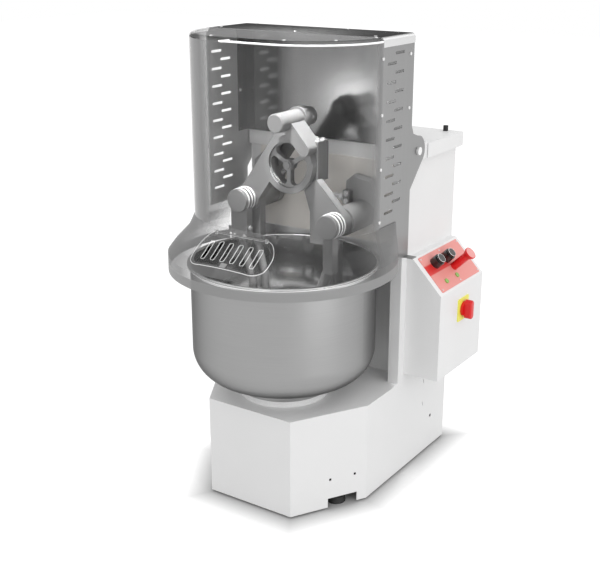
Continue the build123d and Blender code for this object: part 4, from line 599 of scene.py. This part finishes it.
def bead_along(group, route, radius, sides):
    """A round bead swept along a curve; returns its mesh."""
    section = group.nodes.new("GeometryNodeCurvePrimitiveCircle")
    feed(group, section.inputs["Resolution"], sides)
    group.links.new(radius, section.inputs["Radius"])
    sweep = group.nodes.new("GeometryNodeCurveToMesh")
    sweep.inputs["Fill Caps"].default_value = True
    group.links.new(route, sweep.inputs["Curve"])
    group.links.new(section.outputs["Curve"], sweep.inputs["Profile Curve"])
    return sweep.outputs["Mesh"]


MERGE_REACH = 0.00002
bead_tree, e_in, e_out = growth("edge_beads", [("Bead Radius", FLOAT, 0.0007), ("Sides", COUNT, 6),
                                               ("Sharpness", FLOAT, 1.1)])
merged = bead_tree.nodes.new("GeometryNodeMergeByDistance")
merged.inputs["Distance"].default_value = MERGE_REACH
bead_tree.links.new(e_in["Geometry"], merged.inputs["Geometry"])
bend = bead_tree.nodes.new("GeometryNodeInputMeshEdgeAngle")
sharp = math_node(bead_tree, "GREATER_THAN", bend.outputs["Unsigned Angle"], e_in["Sharpness"])
route = bead_tree.nodes.new("GeometryNodeMeshToCurve")
bead_tree.links.new(merged.outputs["Geometry"], route.inputs["Mesh"])
bead_tree.links.new(sharp, route.inputs["Selection"])
close_tree(bead_tree, bead_along(bead_tree, route.outputs["Curve"], e_in["Bead Radius"], e_in["Sides"]), e_in, e_out)
grow("feed_flap_edge_glow", nodes["feed_flap"].data.copy(), bead_tree, {"Bead Radius": 0.00042, "Finish": glowing_edge_highlight},
     "flap")

# %% [markdown]
# The clear top is bent down over the screen, and the bend's foot shines as one thick line from the front round to the
# right. That line is a painted highlight: a bead in the glowing edge finish, laid where the light catches the bend. It
# follows the screen's plan there, which is a short flat front and a quarter circle. The same tree lays it along a
# chain of edges: those have no faces and so no angle, and a limit below zero keeps them all.

# %% Painted highlight along the lip round the top
LIP_HEIGHT, LIP_RADIUS = 1397, 0.0028
LIP_CORNER, LIP_CORNER_Y = 225.0, 37.0
top_low, top_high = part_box("screen_top")
corner_x = (top_high.x - top_low.x) / 2 * 1000 - LIP_CORNER
lip_points = [at(x, LIP_CORNER_Y - LIP_CORNER, LIP_HEIGHT) for x in range(-78, 78, 13)]
for angle in range(-90, 1, 3):
    lip_points.append(at(corner_x + LIP_CORNER * math.cos(math.radians(angle)),
                         LIP_CORNER_Y + LIP_CORNER * math.sin(math.radians(angle)), LIP_HEIGHT))
lip_highlight_line = bpy.data.meshes.new("lip_highlight_line")
lip_highlight_line.from_pydata(lip_points, [(i, i + 1) for i in range(len(lip_points) - 1)], [])
grow("top_lip_highlight", lip_highlight_line, bead_tree, {"Bead Radius": LIP_RADIUS, "Sides": 10, "Sharpness": -1.0, "Finish": glowing_edge_highlight},
     "guard")

# %% [markdown]
# Bolts are points with a facing direction. The tree puts a hexagon head on a washer at each one and turns it to
# face that way, so one list of places per body is all that a new group of bolts needs.

# %% Bolts


def lifted(group, mesh, amount):
    """Moves a mesh up by a socket's value."""
    offset = group.nodes.new("ShaderNodeCombineXYZ")
    group.links.new(amount, offset.inputs["Z"])
    move = group.nodes.new("GeometryNodeTransform")
    group.links.new(mesh, move.inputs["Geometry"])
    group.links.new(offset.outputs[0], move.inputs["Translation"])
    return move.outputs["Geometry"]


def on_places(group, points, shape):
    """Instances of a shape on points, each turned to face along the points' `facing` direction."""
    facing_name = group.nodes.new("GeometryNodeInputNamedAttribute")
    facing_name.data_type = "FLOAT_VECTOR"
    facing_name.inputs["Name"].default_value = "facing"
    turned_to = group.nodes.new("FunctionNodeAlignRotationToVector")
    turned_to.axis = "Z"
    group.links.new(facing_name.outputs["Attribute"], turned_to.inputs["Vector"])
    placed = group.nodes.new("GeometryNodeInstanceOnPoints")
    group.links.new(points, placed.inputs["Points"])
    group.links.new(shape, placed.inputs["Instance"])
    group.links.new(turned_to.outputs["Rotation"], placed.inputs["Rotation"])
    return placed.outputs["Instances"]


bolt_tree, b_in, b_out = growth("hex_bolts", [("Head Radius", FLOAT, 0.006), ("Head Height", FLOAT, 0.004)])
joined = bolt_tree.nodes.new("GeometryNodeJoinGeometry")
# Sides, then shares of the head's radius, of its height, and of the height again for the middle's lift.
HEAD_PART, WASHER_PART = (6, 1.0, 1.0, 0.75), (24, 1.35, 0.3, 0.15)
for sides, radius_share, height_share, lift_share in (HEAD_PART, WASHER_PART):
    part = bolt_tree.nodes.new("GeometryNodeMeshCylinder")
    part.inputs["Vertices"].default_value = sides
    bolt_tree.links.new(math_node(bolt_tree, "MULTIPLY", b_in["Head Radius"], radius_share), part.inputs["Radius"])
    bolt_tree.links.new(math_node(bolt_tree, "MULTIPLY", b_in["Head Height"], height_share), part.inputs["Depth"])
    lift = math_node(bolt_tree, "MULTIPLY", b_in["Head Height"], lift_share)
    bolt_tree.links.new(lifted(bolt_tree, part.outputs["Mesh"], lift), joined.inputs["Geometry"])
close_tree(bolt_tree, on_places(bolt_tree, b_in["Geometry"], joined.outputs["Geometry"]), b_in, b_out)
print("bolt tree:", len(bolt_tree.nodes), "nodes")

# %% Bolts of the arms and the guard
UP, FORWARD = (0, 0, 1), (0, -1, 0)


def place_mesh(name, places):
    """A mesh of loose points at (x, y, z) places in millimetres, each with its facing direction."""
    seed = bpy.data.meshes.new(name)
    seed.from_pydata([at(*place) for place, facing in places], [], [])
    attribute = seed.attributes.new("facing", "FLOAT_VECTOR", "POINT")
    for index, (place, facing) in enumerate(places):
        attribute.data[index].vector = Vector(facing).normalized()
    return seed


def bolts(name, places, radius, height, body, finish_used=screw_steel):
    """Hexagon bolts at (x, y, z) places in millimetres, each with its facing direction."""
    grow(name, place_mesh(name + "_places", places), bolt_tree,
         {"Head Radius": radius, "Head Height": height, "Finish": finish_used}, body)


bolts("block_bolts", [((x, y, 1102), UP) for y in (62, 90) for x in (57, 79)], 0.006, 0.005, "right_arm")
bolts("spider_nut", [((0, 22, 1029), FORWARD)], 0.0115, 0.005, "right_arm", arm_steel)
bolts("boss_set_screws", [((28, y, 1161), (1, 0, 0.1)) for y in (98, 114)], 0.004, 0.003, "left_arm")
bolts("seam_screws", [((hand * 294.5, 187, 1205), (-hand, 0, 0)) for hand in (-1, 1)], 0.004, 0.003, "guard")

# %% [markdown]
# Each elbow of the arms is a grooved barrel. Two or three light rings behind the cap, thin beads in a near-white
# steel, stand for the highlights on the lands between the grooves: painted highlights. Rings, like bolts, are
# instances on points that carry a facing direction.

# %% Painted highlight rings on the elbows
ELBOW_RADIUS, ELBOW_BEAD = 0.0345, 0.0032
ring_tree, r_in, r_out = growth("highlight_rings", [("Ring Radius", FLOAT, 0.036), ("Bead Radius", FLOAT, 0.002)])
hoop = ring_tree.nodes.new("GeometryNodeCurvePrimitiveCircle")
hoop.inputs["Resolution"].default_value = 64
ring_tree.links.new(r_in["Ring Radius"], hoop.inputs["Radius"])
hoop_bead = bead_along(ring_tree, hoop.outputs["Curve"], r_in["Bead Radius"], 8)
close_tree(ring_tree, on_places(ring_tree, r_in["Geometry"], hoop_bead), r_in, r_out)


def rings(name, places, radius, bead, body):
    """Highlight rings at (x, y, z) places in millimetres, each with its facing direction: painted highlights."""
    grow(name, place_mesh(name + "_places", places), ring_tree,
         {"Ring Radius": radius, "Bead Radius": bead, "Finish": glint_bright_steel}, body)


rings("left_elbow_rings", [((-186, y, 896), FORWARD) for y in (33, 49, 63)], ELBOW_RADIUS, ELBOW_BEAD, "left_arm")
rings("right_elbow_rings", [((159, y, 870), FORWARD) for y in (2, 18, 32)], ELBOW_RADIUS, ELBOW_BEAD, "right_arm")

# %% [markdown]
# ## Turned details
# Small round pieces, such as a threaded stud or a button's cap, are turned: a list of stations along an axis, each
# with its radius, is joined into rings of faces. The mesh is built with bmesh and closed at both ends. Here they make
# the throw adjuster: behind the right-hand crank a clamp holds a threaded stud with its nuts, which sets the crank's
# throw. It stands to the left of the crank's cheek, above the elbow barrel, and turns with the crank.

# %% Throw adjuster on the right crank
TURNED_SIDES = 32
PITCH, CREST, ROOT = 3.4, 8.0, 6.2
CLAMP_MIDDLE, CLAMP_SIZE, CLAMP_BEVEL = (112, 180, 917), (26, 22, 44), 0.004


def keep(name, mesh, finish_used, body):
    """Makes a bmesh a piece with one finish that rides on a body."""
    data = bpy.data.meshes.new(name)
    mesh.to_mesh(data)
    mesh.free()
    data.materials.append(finish_used)
    piece = bpy.data.objects.new(name, data)
    scene.collection.objects.link(piece)
    settle(piece, body)


def turned(name, stations, place, direction, finish_used, body):
    """A closed turned piece: (along, radius) stations in millimetres from a place, along a direction."""
    turn = Vector(direction).normalized().to_track_quat("Z", "Y").to_matrix()
    mesh = bmesh.new()
    loops = []
    for along, radius in stations:
        loop = []
        for step in range(TURNED_SIDES):
            angle = 2 * math.pi * step / TURNED_SIDES
            local = Vector((radius * math.cos(angle), radius * math.sin(angle), along)) / 1000
            loop.append(mesh.verts.new(at(*place) + turn @ local))
        loops.append(loop)
    for low, high in zip(loops, loops[1:]):
        for step in range(TURNED_SIDES):
            after = (step + 1) % TURNED_SIDES
            mesh.faces.new((low[step], low[after], high[after], high[step]))
    mesh.faces.new(list(reversed(loops[0])))
    mesh.faces.new(loops[-1])
    bmesh.ops.recalc_face_normals(mesh, faces=mesh.faces)
    keep(name, mesh, finish_used, body)


# A thin nut, eleven turns of thread, and a second nut with the stud's plain end.
thread = [(0, 12.5), (4, 12.5), (4.01, 6.0)]
for count in range(11):
    thread += [(6 + PITCH * count, CREST), (7.7 + PITCH * count, ROOT)]
thread += [(44, ROOT), (44.01, 13.5), (53, 13.5), (53.01, 7.0), (62, 7.0)]
turned("throw_stud", thread, (48, 177, 917), (1, 0, 0), glint_bright_steel, "right_crank")
bolts("throw_bolts", [((113, 169, z), FORWARD) for z in (905, 929)], 0.0065, 0.005, "right_crank")
clamp = bmesh.new()
bmesh.ops.create_cube(clamp, size=1.0)
for corner in clamp.verts:
    corner.co = at(*(middle + size * share for middle, size, share in zip(CLAMP_MIDDLE, CLAMP_SIZE, corner.co)))
bmesh.ops.bevel(clamp, geom=clamp.edges[:], offset=CLAMP_BEVEL, segments=3, profile=0.5, affect="EDGES")
keep("throw_clamp", clamp, arm_steel, "right_crank")

# %% [markdown]
# The two push buttons show a light ring round their tips, and the mushroom's flat end a paler cap: both are painted
# highlights, a thin bright ring and a thin pale disc. All of them sit on the sloping panel's own direction and move
# with their button, so they are made by the tools above.

# %% Painted highlights: rings of the buttons and the mushroom's cap
SLOPE = (0.7207, 0.0, 0.693)
BUTTON_RADIUS, BUTTON_BEAD, BUTTON_REACH = 0.0146, 0.0007, 31.2
MUSHROOM, MUSHROOM_REACH = (356.8, 426, 672.9), 79.2


def out_of_panel(place, along):
    """A place in millimetres moved out along the panel's direction."""
    return tuple(value + along * share for value, share in zip(place, SLOPE))


for name, y, body in (("start_ring", 343, "start_button"), ("stop_ring", 416, "stop_button")):
    rings(name, [(out_of_panel((333.6, y, 702), BUTTON_REACH), SLOPE)], BUTTON_RADIUS, BUTTON_BEAD, body)
turned("mushroom_glare_cap", [(0, 18.2), (0.9, 18.2), (1.3, 17.4)], out_of_panel(MUSHROOM, MUSHROOM_REACH), SLOPE, painted_glare_red,
       "emergency_stop")
